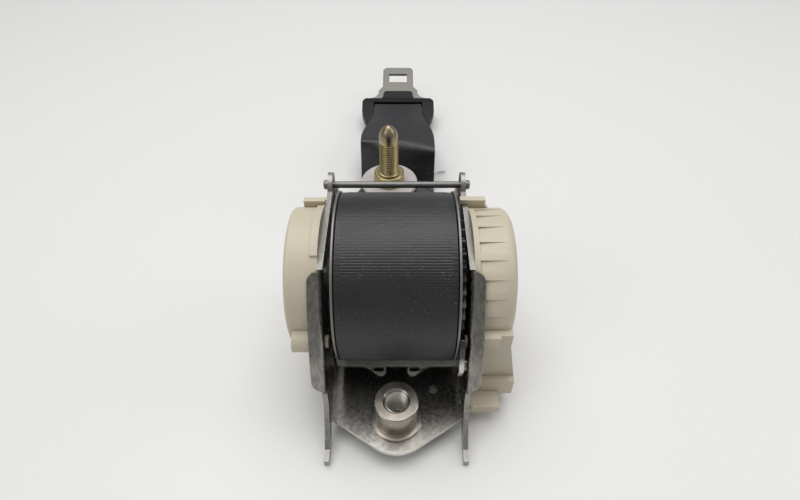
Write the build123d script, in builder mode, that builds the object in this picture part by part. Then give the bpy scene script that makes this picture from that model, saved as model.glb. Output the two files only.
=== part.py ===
from build123d import *
from math import atan2, cos, degrees, hypot, radians, sin
import os

# A car seat-belt retractor that lies on its back, with the end of its belt, its latch tongue and
# its floor anchor behind it. X runs across the belt, +Y is the way the belt leaves, +Z is away
# from the mounting face. The origin is on the axis of the threaded collar, on the mounting face.
# All sizes are in millimetres.

# Clearances
SEAT_GAP = 0.3  # between a soft or loose piece and what it lies against
RUNNING_GAP = 0.05  # radial, between a shaft and its bearing
SIDE_GAP = 0.1  # between faces that slide past each other

# Belt
BELT_WIDTH = 47.0
BELT_THICK = 1.2
ROLL_RADIUS = 37.2  # the belt wound on the spool

# Steel frame, one folded sheet
SHEET = 2.2
CHEEK_HEIGHT = 67.0
FRAME_BACK = 86.0  # y of the cheeks' back edges
EAR_RADIUS = 5.6
ROD_RADIUS = 1.5
TAB_RADIUS = 16.0  # round end of the mounting tab, about the collar
LEG_DROP = 8.0  # how far the legs and the hook reach past the mounting face
LIP_REACH = 4.0  # how far the cheeks' front lips stand out
FOLD_RADIUS = 3.0
LIP_FOLD = 2.7
HOOK_WIDTH = 16.0

# Webbing guide, a moulded liner between the frame and the roll
GUIDE_FLOOR = 0.8
GUIDE_WALL = 1.0
GUIDE_FRONT = 25.4
GUIDE_TOP = 63.5
GUIDE_CUT_RADIUS = 36.5

# Spool and shaft
BARREL_RADIUS = 15.0
FLANGE_RADIUS = 37.0
FLANGE_THICK = 1.0
FLANGE_GAP = 0.5  # between the belt and each flange
SHAFT_RADIUS = 6.0
JOURNAL_RADIUS = 5.0
BUSH_WALL = 1.6
BUSH_RIM_RADIUS = 10.0
BUSH_RIM = 1.2

# Ratchet and pawl
TEETH = 36
RATCHET_RADIUS = 31.0
TOOTH_DEPTH = 3.0
PAWL_SWING = 12.0  # degrees between locked and free
RATCHET_THICK = 2.2
PAWL_Y, PAWL_Z = 11.5, 27.0
PAWL_BOSS = 6.0
PAWL_PIN_RADIUS = 3.0

# Side covers
COVER_WALL = 1.5
SPRING_COVER_RADIUS = 30.0
SPRING_COVER_DEPTH = 13.5
SPRING_RIM_RADIUS = SPRING_COVER_RADIUS + 1.0
SPRING_RIM_WIDTH = 3.0
SPRING_RIM_FRONT = 14.0  # how far in front of the axle the rim begins
SPRING_EDGE_RADIUS = 1.5
SENSOR_COVER_RADIUS = 29.7
SENSOR_COVER_DEPTH = 17.3
SENSOR_EDGE_RADIUS = 4.0
COVER_PIN_RADIUS = 1.9
COVER_PIN_CIRCLE = 32.1
COVER_PIN_ANGLES = (188.0, 23.0, 321.0)  # front, back top and back bottom, seen from +X
BASE_PLATE = 1.3
LUG_Y, LUG_LENGTH, LUG_REACH = 67.2, 2.6, 7.5
EAR_REACH, EAR_WIDTH = 5.2, 9.0
EAR_LENGTHS = (11.4, 5.0, 5.0)  # of the left cover's ears, front one first
RIB_COUNT = 24
RIB_STEP = 1.0
RIM_WIDTH = 2.2

HOOK_OVERHANG = 1.2
PIN_HEAD = 1.0

# Crash sensor
BALL_RADIUS = 5.0
BALL_RISE = 1.0
SENSOR_X, SENSOR_Y, SENSOR_Z = 38.8, 24.0, 10.2  # middle of the ball
BOX_FRONT, BOX_STEP, BOX_TOP, BOX_LEDGE, BOX_BOTTOM = 15.0, 3.0, 34.3, 12.0, 1.4
BOX_INSET = 0.8  # of the box's top from the drum's end
BOX_FOOT_OUT = 20.8
FOOT_LENGTH, FOOT_HEIGHT, FOOT_OUT = 11.0, 4.8, 14.4
LOCK_GEAR_RADIUS = 23.5
LOCK_GEAR_THICK = 3.0

# Mounting collar
COLLAR_RADIUS = 9.4
COLLAR_HEIGHT = 14.8
COLLAR_FLANGE_RADIUS = 11.2
THREAD_BORE = 4.35  # minor radius of an M10 x 1.25 thread

# Latch tongue
TONGUE_Y, TONGUE_Z = 236.4, 0.7  # middle of the bar that the belt goes round
TONGUE_TILT = 15.0
BLADE_THICK = 2.4
BLADE_CORNER = 3.5
BLADE_WIDTH = 23.0
BLADE_TIP = 51.0
WINDOW_WIDTH, WINDOW_LENGTH = 13.7, 8.5
WINDOW_MIDDLE = BLADE_TIP - 11.0
BELT_NECK = 34.0  # width that the belt is gathered to in the tongue
GRIP_WIDTH = BELT_WIDTH + 6.0
GRIP_THICK = 6.4
TONGUE_SLOT_WIDTH = BELT_NECK + 2.0
TONGUE_SLOT_NEAR, TONGUE_SLOT_FAR = 7.2, 13.2

# Floor anchor and its bolt
BOLT_X, BOLT_Y = -5.0, 147.4
BOLT_RADIUS = 5.55  # a 7/16 inch thread
SHANK_RADIUS = 6.3
BOLT_HEAD_HEIGHT = 10.0
HEAD_FLATS = 19.0
HEAD_FLANGE, HEAD_FLANGE_RADIUS = 2.0, 12.0
BOLT_TIP_LENGTH = 10.5
BOLT_TIP_FLAT = 0.8
THREAD_LENGTH = 23.0
ANCHOR_PLATE = 3.0
ANCHOR_BAR_Y = 122.5
ANCHOR_BAR = 3.0  # the plate's bar is round
ANCHOR_SLOT = 4.75
ANCHOR_HOLE = 8.0
ANCHOR_END_RADIUS = 15.0
WASHER_RADIUS = 17.0
WASHER_THICK = 2.4
SPACER_RADIUS = 9.0
SPACER_HEIGHT = 7.0
SPRING_WASHER = 1.0
HEAD_BOTTOM = -2.0
ANCHOR_Z = HEAD_BOTTOM + BOLT_HEAD_HEIGHT  # underside of the anchor plate

# Places that follow from the sizes
CHEEK_GAP = BELT_WIDTH + 2 * (FLANGE_GAP + FLANGE_THICK + RATCHET_THICK + BUSH_RIM + SIDE_GAP)
CHEEK_IN = CHEEK_GAP / 2
CHEEK_OUT = CHEEK_IN + SHEET
FLOOR_Z = -LEG_DROP
BELT_EXIT_Z = SHEET + GUIDE_FLOOR + SEAT_GAP + BELT_THICK / 2
SPOOL_Y = 47.4
SPOOL_Z = BELT_EXIT_Z + BELT_THICK / 2 + SEAT_GAP + ROLL_RADIUS
ROD_Y = FRAME_BACK - EAR_RADIUS
ROD_Z = CHEEK_HEIGHT - 0.8
FLANGE_IN = BELT_WIDTH / 2 + FLANGE_GAP
FLANGE_OUT = FLANGE_IN + FLANGE_THICK
BUSH_RADIUS = JOURNAL_RADIUS + BUSH_WALL
BUSH_IN = CHEEK_IN - BUSH_RIM
SPRING_COVER_OUT = CHEEK_OUT + SPRING_COVER_DEPTH
SENSOR_COVER_OUT = CHEEK_OUT + SENSOR_COVER_DEPTH


def across(x):
    """Plane across the belt at x: its own x runs along Y and its own y along Z."""
    return Plane.YZ.offset(x)


def on_axle(x):
    """Plane across the spool's axis at x, centred on the axis."""
    return Plane(origin=(x, SPOOL_Y, SPOOL_Z), x_dir=(0, 1, 0), z_dir=(1, 0, 0))


def about_axle(radius, angle):
    """Point at a radius and an angle round the spool's axis, as (y, z)."""
    return (
        SPOOL_Y + radius * cos(radians(angle)),
        SPOOL_Z + radius * sin(radians(angle)),
    )


def rounded_path(corners):
    """Points along a path whose corners, given as (y, z, radius), are rounded."""
    points = [corners[0][:2]]
    for before, (y, z, radius), after in zip(corners, corners[1:], corners[2:]):
        here = Vector(y, z)
        back = (Vector(*before[:2]) - here).normalized()
        ahead = (Vector(*after[:2]) - here).normalized()
        half = radians(back.get_angle(ahead)) / 2
        centre = here + (back + ahead).normalized() * (radius / sin(half))
        first = here + back * (radius * cos(half) / sin(half)) - centre
        turn = 180 - 2 * degrees(half)
        if back.X * ahead.Y - back.Y * ahead.X > 0:
            turn = -turn
        steps = max(2, round(abs(turn) / 9))
        for step in range(steps + 1):
            spot = centre + first.rotate(Axis.Z, turn * step / steps)
            points.append((spot.X, spot.Y))
    points.append(corners[-1][:2])
    return points


def ribbon(points, thickness):
    """Outline of a band of one thickness along a path of points."""
    sides = ([], [])
    for index, point in enumerate(points):
        before = points[max(index - 1, 0)]
        after = points[min(index + 1, len(points) - 1)]
        along = Vector(after[0] - before[0], after[1] - before[1]).normalized()
        for side, hand in zip(sides, (1, -1)):
            reach = hand * thickness / 2
            side.append((point[0] - along.Y * reach, point[1] + along.X * reach))
    return sides[0] + sides[1][::-1]


def save(piece, name):
    piece.part.label = name
    export_step(piece.part, f"parts/{name}.step")


os.makedirs("parts", exist_ok=True)
cover_pins_at = [about_axle(COVER_PIN_CIRCLE, angle) for angle in COVER_PIN_ANGLES]

# Frame: the back plate with its mounting tab, two cheeks with lips, legs and ears, and a hook.
lip_top = (28.4, CHEEK_HEIGHT)
lip_foot = (1.4, 20.0)
lip_bulge = 3.5
chord = hypot(lip_top[0] - lip_foot[0], lip_top[1] - lip_foot[1])
lip_radius = chord**2 / (8 * lip_bulge) + lip_bulge / 2
lean = atan2(lip_top[1] - lip_foot[1], lip_top[0] - lip_foot[0])
lip_middle = ((lip_top[0] + lip_foot[0]) / 2, (lip_top[1] + lip_foot[1]) / 2)
lip_bow = (
    lip_middle[0] - lip_bulge * sin(lean),
    lip_middle[1] + lip_bulge * cos(lean),
)
lip_centre = (
    lip_middle[0] + (lip_radius - lip_bulge) * sin(lean),
    lip_middle[1] - (lip_radius - lip_bulge) * cos(lean),
)
plate_front = -0.4
leg_root = (0.4, 13.0)
leg_knee = (-5.0, 3.5)
toe_heel = (-11.7, FLOOR_Z + 4.0)
toe_tip = (-16.8, FLOOR_Z + 4.0)
leg_back = (2.5, 0.0)

with BuildPart() as frame:
    with BuildSketch(Plane.XY):
        with Locations((0, (plate_front + FRAME_BACK) / 2)):
            Rectangle(2 * CHEEK_OUT, FRAME_BACK - plate_front)
        Circle(TAB_RADIUS)
        with BuildLine():
            tangent = degrees(atan2(TAB_RADIUS, CHEEK_IN))
            touch = 270 + tangent
            right = (TAB_RADIUS * cos(radians(touch)), TAB_RADIUS * sin(radians(touch)))
            Polyline(
                (CHEEK_IN, 0),
                (CHEEK_IN, plate_front),
                right,
                (-right[0], right[1]),
                (-CHEEK_IN, plate_front),
                (-CHEEK_IN, 0),
                close=True,
            )
        make_face()
    extrude(amount=SHEET)
    with BuildSketch(Plane.XY):
        with Locations((0, FRAME_BACK - SHEET / 2)):
            Rectangle(HOOK_WIDTH, SHEET)
    extrude(amount=-LEG_DROP)
    with BuildSketch(across(CHEEK_IN)):
        with BuildLine():
            Line((FRAME_BACK, 0), (FRAME_BACK, ROD_Z))
            ear_foot = ROD_Y - (EAR_RADIUS**2 - (CHEEK_HEIGHT - ROD_Z) ** 2) ** 0.5
            ThreePointArc(
                (FRAME_BACK, ROD_Z), (ROD_Y, ROD_Z + EAR_RADIUS), (ear_foot, CHEEK_HEIGHT)
            )
            Line((ear_foot, CHEEK_HEIGHT), lip_top)
            ThreePointArc(lip_top, lip_bow, lip_foot)
            Polyline(
                lip_foot,
                leg_root,
                leg_knee,
                toe_heel,
                toe_tip,
                (toe_tip[0], FLOOR_Z),
                (toe_tip[0] + 8.5, FLOOR_Z),
                leg_back,
                (FRAME_BACK, 0),
            )
        make_face()
        with Locations((SPOOL_Y, SPOOL_Z)):
            Circle(BUSH_RADIUS, mode=Mode.SUBTRACT)
        with Locations((ROD_Y, ROD_Z)):
            Circle(ROD_RADIUS, mode=Mode.SUBTRACT)
        with Locations(*cover_pins_at):
            Circle(COVER_PIN_RADIUS + SIDE_GAP, mode=Mode.SUBTRACT)
    extrude(amount=SHEET)
    # The lip follows the cheek's front edge and is turned outwards.
    with BuildSketch(across(CHEEK_IN)):
        with BuildLine():
            outer = ThreePointArc(lip_top, lip_bow, lip_foot)
            share = (lip_radius - SHEET) / lip_radius
            inner_ends = [
                (lip_centre[0] + (p[0] - lip_centre[0]) * share,
                 lip_centre[1] + (p[1] - lip_centre[1]) * share)
                for p in (lip_top, lip_bow, lip_foot)
            ]
            Line(lip_foot, inner_ends[2])
            ThreePointArc(inner_ends[2], inner_ends[1], inner_ends[0])
            Line(inner_ends[0], lip_top)
        make_face()
    extrude(amount=SHEET + LIP_REACH)
    # Its two ends run back into the cheek, the upper one round and the lower one slanted.
    lip_plane = Plane(
        origin=(0, *lip_middle),
        x_dir=(1, 0, 0),
        z_dir=(0, -sin(lean), cos(lean)),
    )
    with BuildSketch(lip_plane):
        with BuildLine():
            lip_round = ThreePointArc(
                (CHEEK_OUT, chord / 2 - 1.0),
                (CHEEK_OUT + LIP_REACH * 0.72, chord / 2 - LIP_REACH * 0.55),
                (CHEEK_OUT + LIP_REACH, chord / 2 - LIP_REACH * 1.2),
            )
            Polyline(
                lip_round @ 1,
                (CHEEK_OUT + LIP_REACH + 1, chord / 2 - LIP_REACH * 1.2),
                (CHEEK_OUT + LIP_REACH + 1, chord / 2 + 2),
                (CHEEK_OUT, chord / 2 + 2),
                lip_round @ 0,
            )
        make_face()
        with BuildLine():
            lip_foot_round = ThreePointArc(
                (CHEEK_OUT, 1.0 - chord / 2),
                (CHEEK_OUT + LIP_REACH * 0.7, 1.0 + LIP_REACH * 0.45 - chord / 2),
                (CHEEK_OUT + LIP_REACH, 1.0 + LIP_REACH * 1.2 - chord / 2),
            )
            Polyline(
                lip_foot_round @ 1,
                (CHEEK_OUT + LIP_REACH + 1, 1.0 + LIP_REACH * 1.2 - chord / 2),
                (CHEEK_OUT + LIP_REACH + 1, -2 - chord / 2),
                (CHEEK_OUT, -2 - chord / 2),
                lip_foot_round @ 0,
            )
        make_face()
    extrude(amount=12, both=True, mode=Mode.SUBTRACT)
    # Round outside of the lip's fold.
    fold_start = Vector(0, lip_foot[0] - lip_centre[0], lip_foot[1] - lip_centre[1]).normalized()
    fold_plane = Plane(
        origin=(0, *lip_centre),
        x_dir=(1, 0, 0),
        z_dir=Vector(1, 0, 0).cross(fold_start),
    )
    with BuildSketch(fold_plane):
        with Locations((CHEEK_IN + LIP_FOLD / 2, lip_radius - LIP_FOLD / 2)):
            Rectangle(LIP_FOLD + SEAT_GAP, LIP_FOLD + SEAT_GAP)
        with Locations((CHEEK_IN + LIP_FOLD, lip_radius - LIP_FOLD)):
            Circle(LIP_FOLD, mode=Mode.SUBTRACT)
            Rectangle(
                LIP_FOLD, 2 * LIP_FOLD, align=(Align.MIN, Align.CENTER), mode=Mode.SUBTRACT
            )
            Rectangle(
                2 * LIP_FOLD, LIP_FOLD, align=(Align.CENTER, Align.MAX), mode=Mode.SUBTRACT
            )
    lip_arc = 2 * degrees(atan2(chord / 2, lip_radius - lip_bulge))
    revolve(
        axis=Axis((0, *lip_centre), (1, 0, 0)), revolution_arc=-lip_arc, mode=Mode.SUBTRACT
    )
    mirror(about=Plane.YZ)
    # Holes of one side only: the pawl's pivot in the right cheek, and one in the plate.
    with BuildSketch(across(CHEEK_IN)):
        with Locations((PAWL_Y, PAWL_Z)):
            Circle(PAWL_PIN_RADIUS)
    extrude(amount=SHEET, mode=Mode.SUBTRACT)
    with Locations((16.5, 13.4, SHEET), (0, 0, SHEET)):
        Hole(2.0)
    with Locations((0, 0, SHEET)):
        Hole(COLLAR_RADIUS - 2.0)
    # The covers' drums stand clear of the lips.
    for side, cover_radius in ((1, SENSOR_COVER_RADIUS), (-1, SPRING_COVER_RADIUS)):
        with BuildSketch(on_axle(side * CHEEK_OUT)):
            Circle(cover_radius + SEAT_GAP)
        extrude(amount=side * (LIP_REACH + 1), mode=Mode.SUBTRACT)
    # Round outside of the two long folds.
    with BuildSketch(Plane.XZ.offset(-FRAME_BACK)):
        with Locations((CHEEK_OUT - FOLD_RADIUS / 2, FOLD_RADIUS / 2)):
            Rectangle(FOLD_RADIUS, FOLD_RADIUS)
        with Locations((CHEEK_OUT - FOLD_RADIUS, FOLD_RADIUS)):
            Circle(FOLD_RADIUS, mode=Mode.SUBTRACT)
        mirror(about=Plane.YZ)
    extrude(amount=FRAME_BACK - leg_back[0] - FOLD_RADIUS, mode=Mode.SUBTRACT)
save(frame, "frame")

# Threaded collar, riveted into the tab.
with BuildPart() as collar:
    Cylinder(COLLAR_RADIUS - 2.0, SHEET, align=(Align.CENTER, Align.CENTER, Align.MIN))
    with Locations((0, 0, SHEET)):
        Cylinder(COLLAR_RADIUS, COLLAR_HEIGHT, align=(Align.CENTER, Align.CENTER, Align.MIN))
        Cylinder(COLLAR_FLANGE_RADIUS, 1.0, align=(Align.CENTER, Align.CENTER, Align.MIN))
    chamfer(collar.edges().group_by(Axis.Z)[-1], 0.8)
    Hole(THREAD_BORE)
    chamfer(collar.edges().group_by(Axis.Z)[-1].sort_by(SortBy.RADIUS)[0], 1.3)
save(collar, "collar")

# Tie rod between the two ears.
with BuildPart() as tie_rod:
    with BuildSketch(across(-CHEEK_OUT)):
        with Locations((ROD_Y, ROD_Z)):
            Circle(ROD_RADIUS)
    extrude(amount=2 * CHEEK_OUT)
    with BuildSketch(across(CHEEK_OUT)):
        with Locations((ROD_Y, ROD_Z)):
            Circle(ROD_RADIUS + 0.6)
    extrude(amount=2.2)
    chamfer(tie_rod.edges().group_by(Axis.X)[-1], 0.5)
    mirror(about=Plane.YZ)
save(tie_rod, "tie_rod")

# Webbing guide: a moulded floor with two hooks over the plate's front and a wall in each corner.
guide_out = CHEEK_IN - 0.6
guide_back = FRAME_BACK - 1.0
hook_front = 20.4
with BuildPart() as webbing_guide:
    with BuildSketch(Plane.XY.offset(SHEET)):
        with Locations((0, (GUIDE_FRONT + guide_back) / 2)):
            Rectangle(2 * (guide_out - FOLD_RADIUS + SHEET), guide_back - GUIDE_FRONT)
        for side in (-1, 1):
            with BuildLine():
                Polyline(
                    (side * 5.0, GUIDE_FRONT),
                    (side * 5.0, hook_front + 1.4),
                    (side * 6.2, hook_front),
                    (side * 8.4, hook_front),
                    (side * 12.4, GUIDE_FRONT - 1.6),
                    (side * 15.8, GUIDE_FRONT),
                    close=True,
                )
            make_face()
            with Locations((side * 8.2, GUIDE_FRONT - 1.6)):
                Rectangle(4.6, 2.2, mode=Mode.SUBTRACT)
    extrude(amount=GUIDE_FLOOR)
    with BuildSketch(across(guide_out - GUIDE_WALL)):
        with BuildLine():
            Polyline(
                (GUIDE_FRONT, SHEET),
                (GUIDE_FRONT, 9.0),
                (GUIDE_FRONT - 8.0, 25.0),
                (GUIDE_FRONT - 4.0, 25.0),
                (SPOOL_Y, 25.0),
                (guide_back - 5.0, GUIDE_TOP),
                (guide_back, GUIDE_TOP),
                (guide_back, SHEET),
                close=True,
            )
        make_face()
        with Locations((SPOOL_Y, SPOOL_Z)):
            Circle(GUIDE_CUT_RADIUS, mode=Mode.SUBTRACT)
        with Locations((PAWL_Y, PAWL_Z)):
            Circle(PAWL_BOSS + 1.5, mode=Mode.SUBTRACT)
    extrude(amount=GUIDE_WALL)
    # The floor meets each wall at a slant that clears the frame's fold.
    with BuildSketch(Plane.XZ.offset(-guide_back)):
        with BuildLine():
            Polyline(
                (guide_out - FOLD_RADIUS + SHEET - 0.6, SHEET),
                (guide_out - FOLD_RADIUS + SHEET, SHEET),
                (guide_out, SHEET + 0.9),
                (guide_out, SHEET + 2.2),
                (guide_out - GUIDE_WALL, SHEET + 2.2),
                (guide_out - GUIDE_WALL, SHEET + 1.2),
                (guide_out - GUIDE_WALL - 0.6, SHEET + GUIDE_FLOOR),
                (guide_out - FOLD_RADIUS + SHEET - 0.6, SHEET + GUIDE_FLOOR),
                close=True,
            )
        make_face()
    extrude(amount=guide_back - GUIDE_FRONT)
    with BuildSketch(Plane.XZ.offset(-guide_back)):
        with BuildLine():
            Polyline(
                (guide_out - 0.8, SHEET - 1),
                (guide_out + 1, SHEET - 1),
                (guide_out + 1, SHEET + 0.9),
                (guide_out, SHEET + 0.9),
                close=True,
            )
        make_face()
    extrude(amount=guide_back - GUIDE_FRONT + 8, mode=Mode.SUBTRACT)
    mirror(about=Plane.YZ)
save(webbing_guide, "webbing_guide")

# Spool, the belt wound on it, and its shaft.
with BuildPart() as spool:
    for start, end, radius in (
        (-FLANGE_OUT, -FLANGE_IN, FLANGE_RADIUS),
        (-FLANGE_IN, FLANGE_IN, BARREL_RADIUS),
        (FLANGE_IN, FLANGE_OUT, FLANGE_RADIUS),
    ):
        with BuildSketch(on_axle(start)):
            Circle(radius)
        extrude(amount=end - start)
    with BuildSketch(on_axle(-FLANGE_OUT)):
        Circle(SHAFT_RADIUS)
    extrude(amount=2 * FLANGE_OUT, mode=Mode.SUBTRACT)
save(spool, "spool")

with BuildPart() as webbing_roll:
    with BuildSketch(on_axle(-BELT_WIDTH / 2)):
        Circle(ROLL_RADIUS)
        Circle(BARREL_RADIUS, mode=Mode.SUBTRACT)
    extrude(amount=BELT_WIDTH)
save(webbing_roll, "webbing_roll")

ARBOR_END = SPRING_COVER_OUT - COVER_WALL - 0.6
LOCK_HUB_START = CHEEK_OUT + BASE_PLATE + 0.3
LOCK_HUB_END = SENSOR_COVER_OUT - COVER_WALL - 0.6
with BuildPart() as shaft:
    for start, end, radius in (
        (-ARBOR_END, -FLANGE_OUT, JOURNAL_RADIUS),
        (-FLANGE_OUT, FLANGE_OUT, SHAFT_RADIUS),
        (FLANGE_OUT, LOCK_HUB_END, JOURNAL_RADIUS),
    ):
        with BuildSketch(on_axle(start)):
            Circle(radius)
        extrude(amount=end - start)
    chamfer(shaft.edges().group_by(Axis.X)[0], 0.6)
    chamfer(shaft.edges().group_by(Axis.X)[-1], 0.6)
save(shaft, "shaft")

for side, name in ((-1, "left_bush"), (1, "right_bush")):
    with BuildPart() as bush:
        with BuildSketch(on_axle(side * BUSH_IN)):
            Circle(BUSH_RIM_RADIUS)
        extrude(amount=side * BUSH_RIM)
        with BuildSketch(on_axle(side * CHEEK_IN)):
            Circle(BUSH_RADIUS)
        extrude(amount=side * SHEET)
        with BuildSketch(on_axle(side * BUSH_IN)):
            Circle(JOURNAL_RADIUS + RUNNING_GAP)
        extrude(amount=side * (BUSH_RIM + SHEET), mode=Mode.SUBTRACT)
    save(bush, name)

# Ratchet wheel, fixed beside the right flange. Its teeth point against the belt's pull.
tooth_pitch = 360 / TEETH
outline = []
for tooth in range(TEETH):
    for radius, turn in (
        (RATCHET_RADIUS - TOOTH_DEPTH, 0.0),
        (RATCHET_RADIUS, 0.48),
        (RATCHET_RADIUS, 0.60),
        (RATCHET_RADIUS - TOOTH_DEPTH, 0.90),
    ):
        angle = radians((tooth + turn) * tooth_pitch)
        outline.append((radius * cos(angle), radius * sin(angle)))
with BuildPart() as ratchet_wheel:
    with BuildSketch(on_axle(FLANGE_OUT)):
        with BuildLine():
            Polyline(*outline, close=True)
        make_face()
        Circle(JOURNAL_RADIUS, mode=Mode.SUBTRACT)
        with PolarLocations(19.0, 6):
            Circle(4.0, mode=Mode.SUBTRACT)
    extrude(amount=RATCHET_THICK)
save(ratchet_wheel, "ratchet_wheel")

# Locking pawl: a strut on a pin in the right cheek. Its nose drops between two teeth, and here it
# stands free of them. The nose's upper side lies along its path, so it leaves the tooth cleanly.
PAWL_IN, PAWL_OUT = FLANGE_OUT + 0.2, CHEEK_IN - PIN_HEAD - 0.2
pivot = Vector(PAWL_Y, PAWL_Z)
nose_gap = 17.96 * tooth_pitch
nose_tip = Vector(*about_axle(RATCHET_RADIUS - TOOTH_DEPTH + 0.5, nose_gap))
way_out = (nose_tip - pivot).normalized().rotate(Axis.Z, 90)
pawl_outline = [
    nose_tip,
    nose_tip + way_out * 4.6,
    nose_tip + way_out * 8.0 - Vector(0, 3.5),
    pivot + Vector(0.7 - PAWL_BOSS, 5.0),
    pivot + Vector(1.0 - PAWL_BOSS, 0),
    pivot + Vector(PAWL_BOSS - 1.0, 0),
    Vector(*about_axle(RATCHET_RADIUS + 0.6, 190.5)),
    Vector(*about_axle(RATCHET_RADIUS + 0.3, 184.6)),
    nose_tip - Vector(0.1, 0.5),
]
with BuildPart() as lock_pawl:
    with BuildSketch(across(PAWL_IN)):
        with BuildLine():
            Polyline(
                *[pivot + (point - pivot).rotate(Axis.Z, PAWL_SWING) for point in pawl_outline],
                close=True,
            )
        make_face()
        with Locations((PAWL_Y, PAWL_Z)):
            Circle(PAWL_BOSS - 1.0)
            Circle(PAWL_PIN_RADIUS + RUNNING_GAP, mode=Mode.SUBTRACT)
    extrude(amount=PAWL_OUT - PAWL_IN)
save(lock_pawl, "lock_pawl")

with BuildPart() as pawl_pin:
    with BuildSketch(across(PAWL_IN)):
        with Locations((PAWL_Y, PAWL_Z)):
            Circle(PAWL_PIN_RADIUS)
    extrude(amount=CHEEK_OUT - PAWL_IN)
save(pawl_pin, "pawl_pin")

# Left cover: a base disc, the clock spring and its arbor, and a drum-shaped cover with lugs.
spring_room = SPRING_COVER_RADIUS - COVER_WALL
spring_from, spring_to = CHEEK_OUT + BASE_PLATE, SPRING_COVER_OUT - COVER_WALL
with BuildPart() as spring_base:
    with BuildSketch(on_axle(-CHEEK_OUT)):
        Circle(spring_room)
        Circle(JOURNAL_RADIUS + 0.6, mode=Mode.SUBTRACT)
    extrude(amount=-BASE_PLATE)
save(spring_base, "spring_base")

with BuildPart() as spring_cover:
    with BuildSketch(on_axle(-CHEEK_OUT)):
        Circle(SPRING_COVER_RADIUS)
    extrude(amount=-SPRING_COVER_DEPTH)
    fillet(spring_cover.edges().group_by(Axis.X)[0], SPRING_EDGE_RADIUS)
    # A rim by the cheek, which stops short of the cheek's lip.
    with BuildSketch(on_axle(-CHEEK_OUT)):
        Circle(SPRING_RIM_RADIUS)
        with Locations((-SPRING_RIM_FRONT, 0)):
            Rectangle(
                SPRING_RIM_RADIUS,
                2 * SPRING_RIM_RADIUS,
                align=(Align.MAX, Align.CENTER),
                mode=Mode.SUBTRACT,
            )
    extrude(amount=-SPRING_RIM_WIDTH)
    with BuildSketch(on_axle(-CHEEK_OUT)):
        Circle(spring_room)
    extrude(amount=COVER_WALL - SPRING_COVER_DEPTH, mode=Mode.SUBTRACT)
    for pin_at, angle, ear_length in zip(cover_pins_at, COVER_PIN_ANGLES, EAR_LENGTHS):
        with BuildSketch(across(-CHEEK_OUT)):
            with Locations(pin_at):
                Circle(COVER_PIN_RADIUS + 2.6)
            with Locations(about_axle(COVER_PIN_CIRCLE - EAR_REACH / 2, angle)):
                Rectangle(EAR_REACH, EAR_WIDTH, rotation=angle)
            with Locations((SPOOL_Y, SPOOL_Z)):
                Circle(SPRING_COVER_RADIUS - 0.5, mode=Mode.SUBTRACT)
        extrude(amount=-ear_length)
    # Lug at the top, by the rod.
    with BuildSketch(across(-CHEEK_OUT)):
        with Locations((LUG_Y, CHEEK_HEIGHT - 1.0)):
            Rectangle(LUG_LENGTH, 6.0)
        with Locations((SPOOL_Y, SPOOL_Z)):
            Circle(spring_room, mode=Mode.SUBTRACT)
    extrude(amount=-LUG_REACH - 1.8)
    with BuildSketch(on_axle(-spring_to)):
        Circle(JOURNAL_RADIUS - 1.8)
    extrude(amount=-COVER_WALL - 1.2)
save(spring_cover, "spring_cover")

coils = 9
arbor_radius = JOURNAL_RADIUS + 1.6
strip = 0.6
coil_pitch = (spring_room - 1.0 - strip - arbor_radius - 1.0) / coils
inner_edge, outer_edge = [], []
for step in range(coils * 24 + 1):
    turn = radians(step * 15)
    radius = arbor_radius + 1.0 + coil_pitch * step / 24
    inner_edge.append((radius * cos(turn), radius * sin(turn)))
    outer_edge.append(((radius + strip) * cos(turn), (radius + strip) * sin(turn)))
with BuildPart() as clock_spring:
    with BuildSketch(on_axle(-spring_from - 0.5)):
        with BuildLine():
            Polyline(*inner_edge, *reversed(outer_edge), close=True)
        make_face()
    extrude(amount=spring_from + 1.0 - spring_to)
save(clock_spring, "clock_spring")

with BuildPart() as spring_arbor:
    with BuildSketch(on_axle(-spring_from - 0.5)):
        Circle(arbor_radius)
        Circle(JOURNAL_RADIUS, mode=Mode.SUBTRACT)
    extrude(amount=spring_from + 1.0 - spring_to)
save(spring_arbor, "spring_arbor")

# Snap pins of both covers: each head is inside the cheek that its pin goes through.
for side, name in ((-1, "left_snap_pins"), (1, "right_snap_pins")):
    with BuildPart() as pins:
        with BuildSketch(across(side * (CHEEK_IN - PIN_HEAD))):
            with Locations(*cover_pins_at):
                Circle(COVER_PIN_RADIUS + 0.7)
        extrude(amount=side * PIN_HEAD)
        with BuildSketch(across(side * CHEEK_IN)):
            with Locations(*cover_pins_at):
                Circle(COVER_PIN_RADIUS)
        extrude(amount=side * SHEET)
    save(pins, name)

# Right cover: a base disc, the lock gear on the shaft, and a ribbed cover with a sensor box.
sensor_room = SENSOR_COVER_RADIUS - RIB_STEP - COVER_WALL
with BuildPart() as sensor_base:
    with BuildSketch(on_axle(CHEEK_OUT)):
        Circle(sensor_room)
        Circle(JOURNAL_RADIUS + 0.6, mode=Mode.SUBTRACT)
    extrude(amount=BASE_PLATE)
save(sensor_base, "sensor_base")

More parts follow.
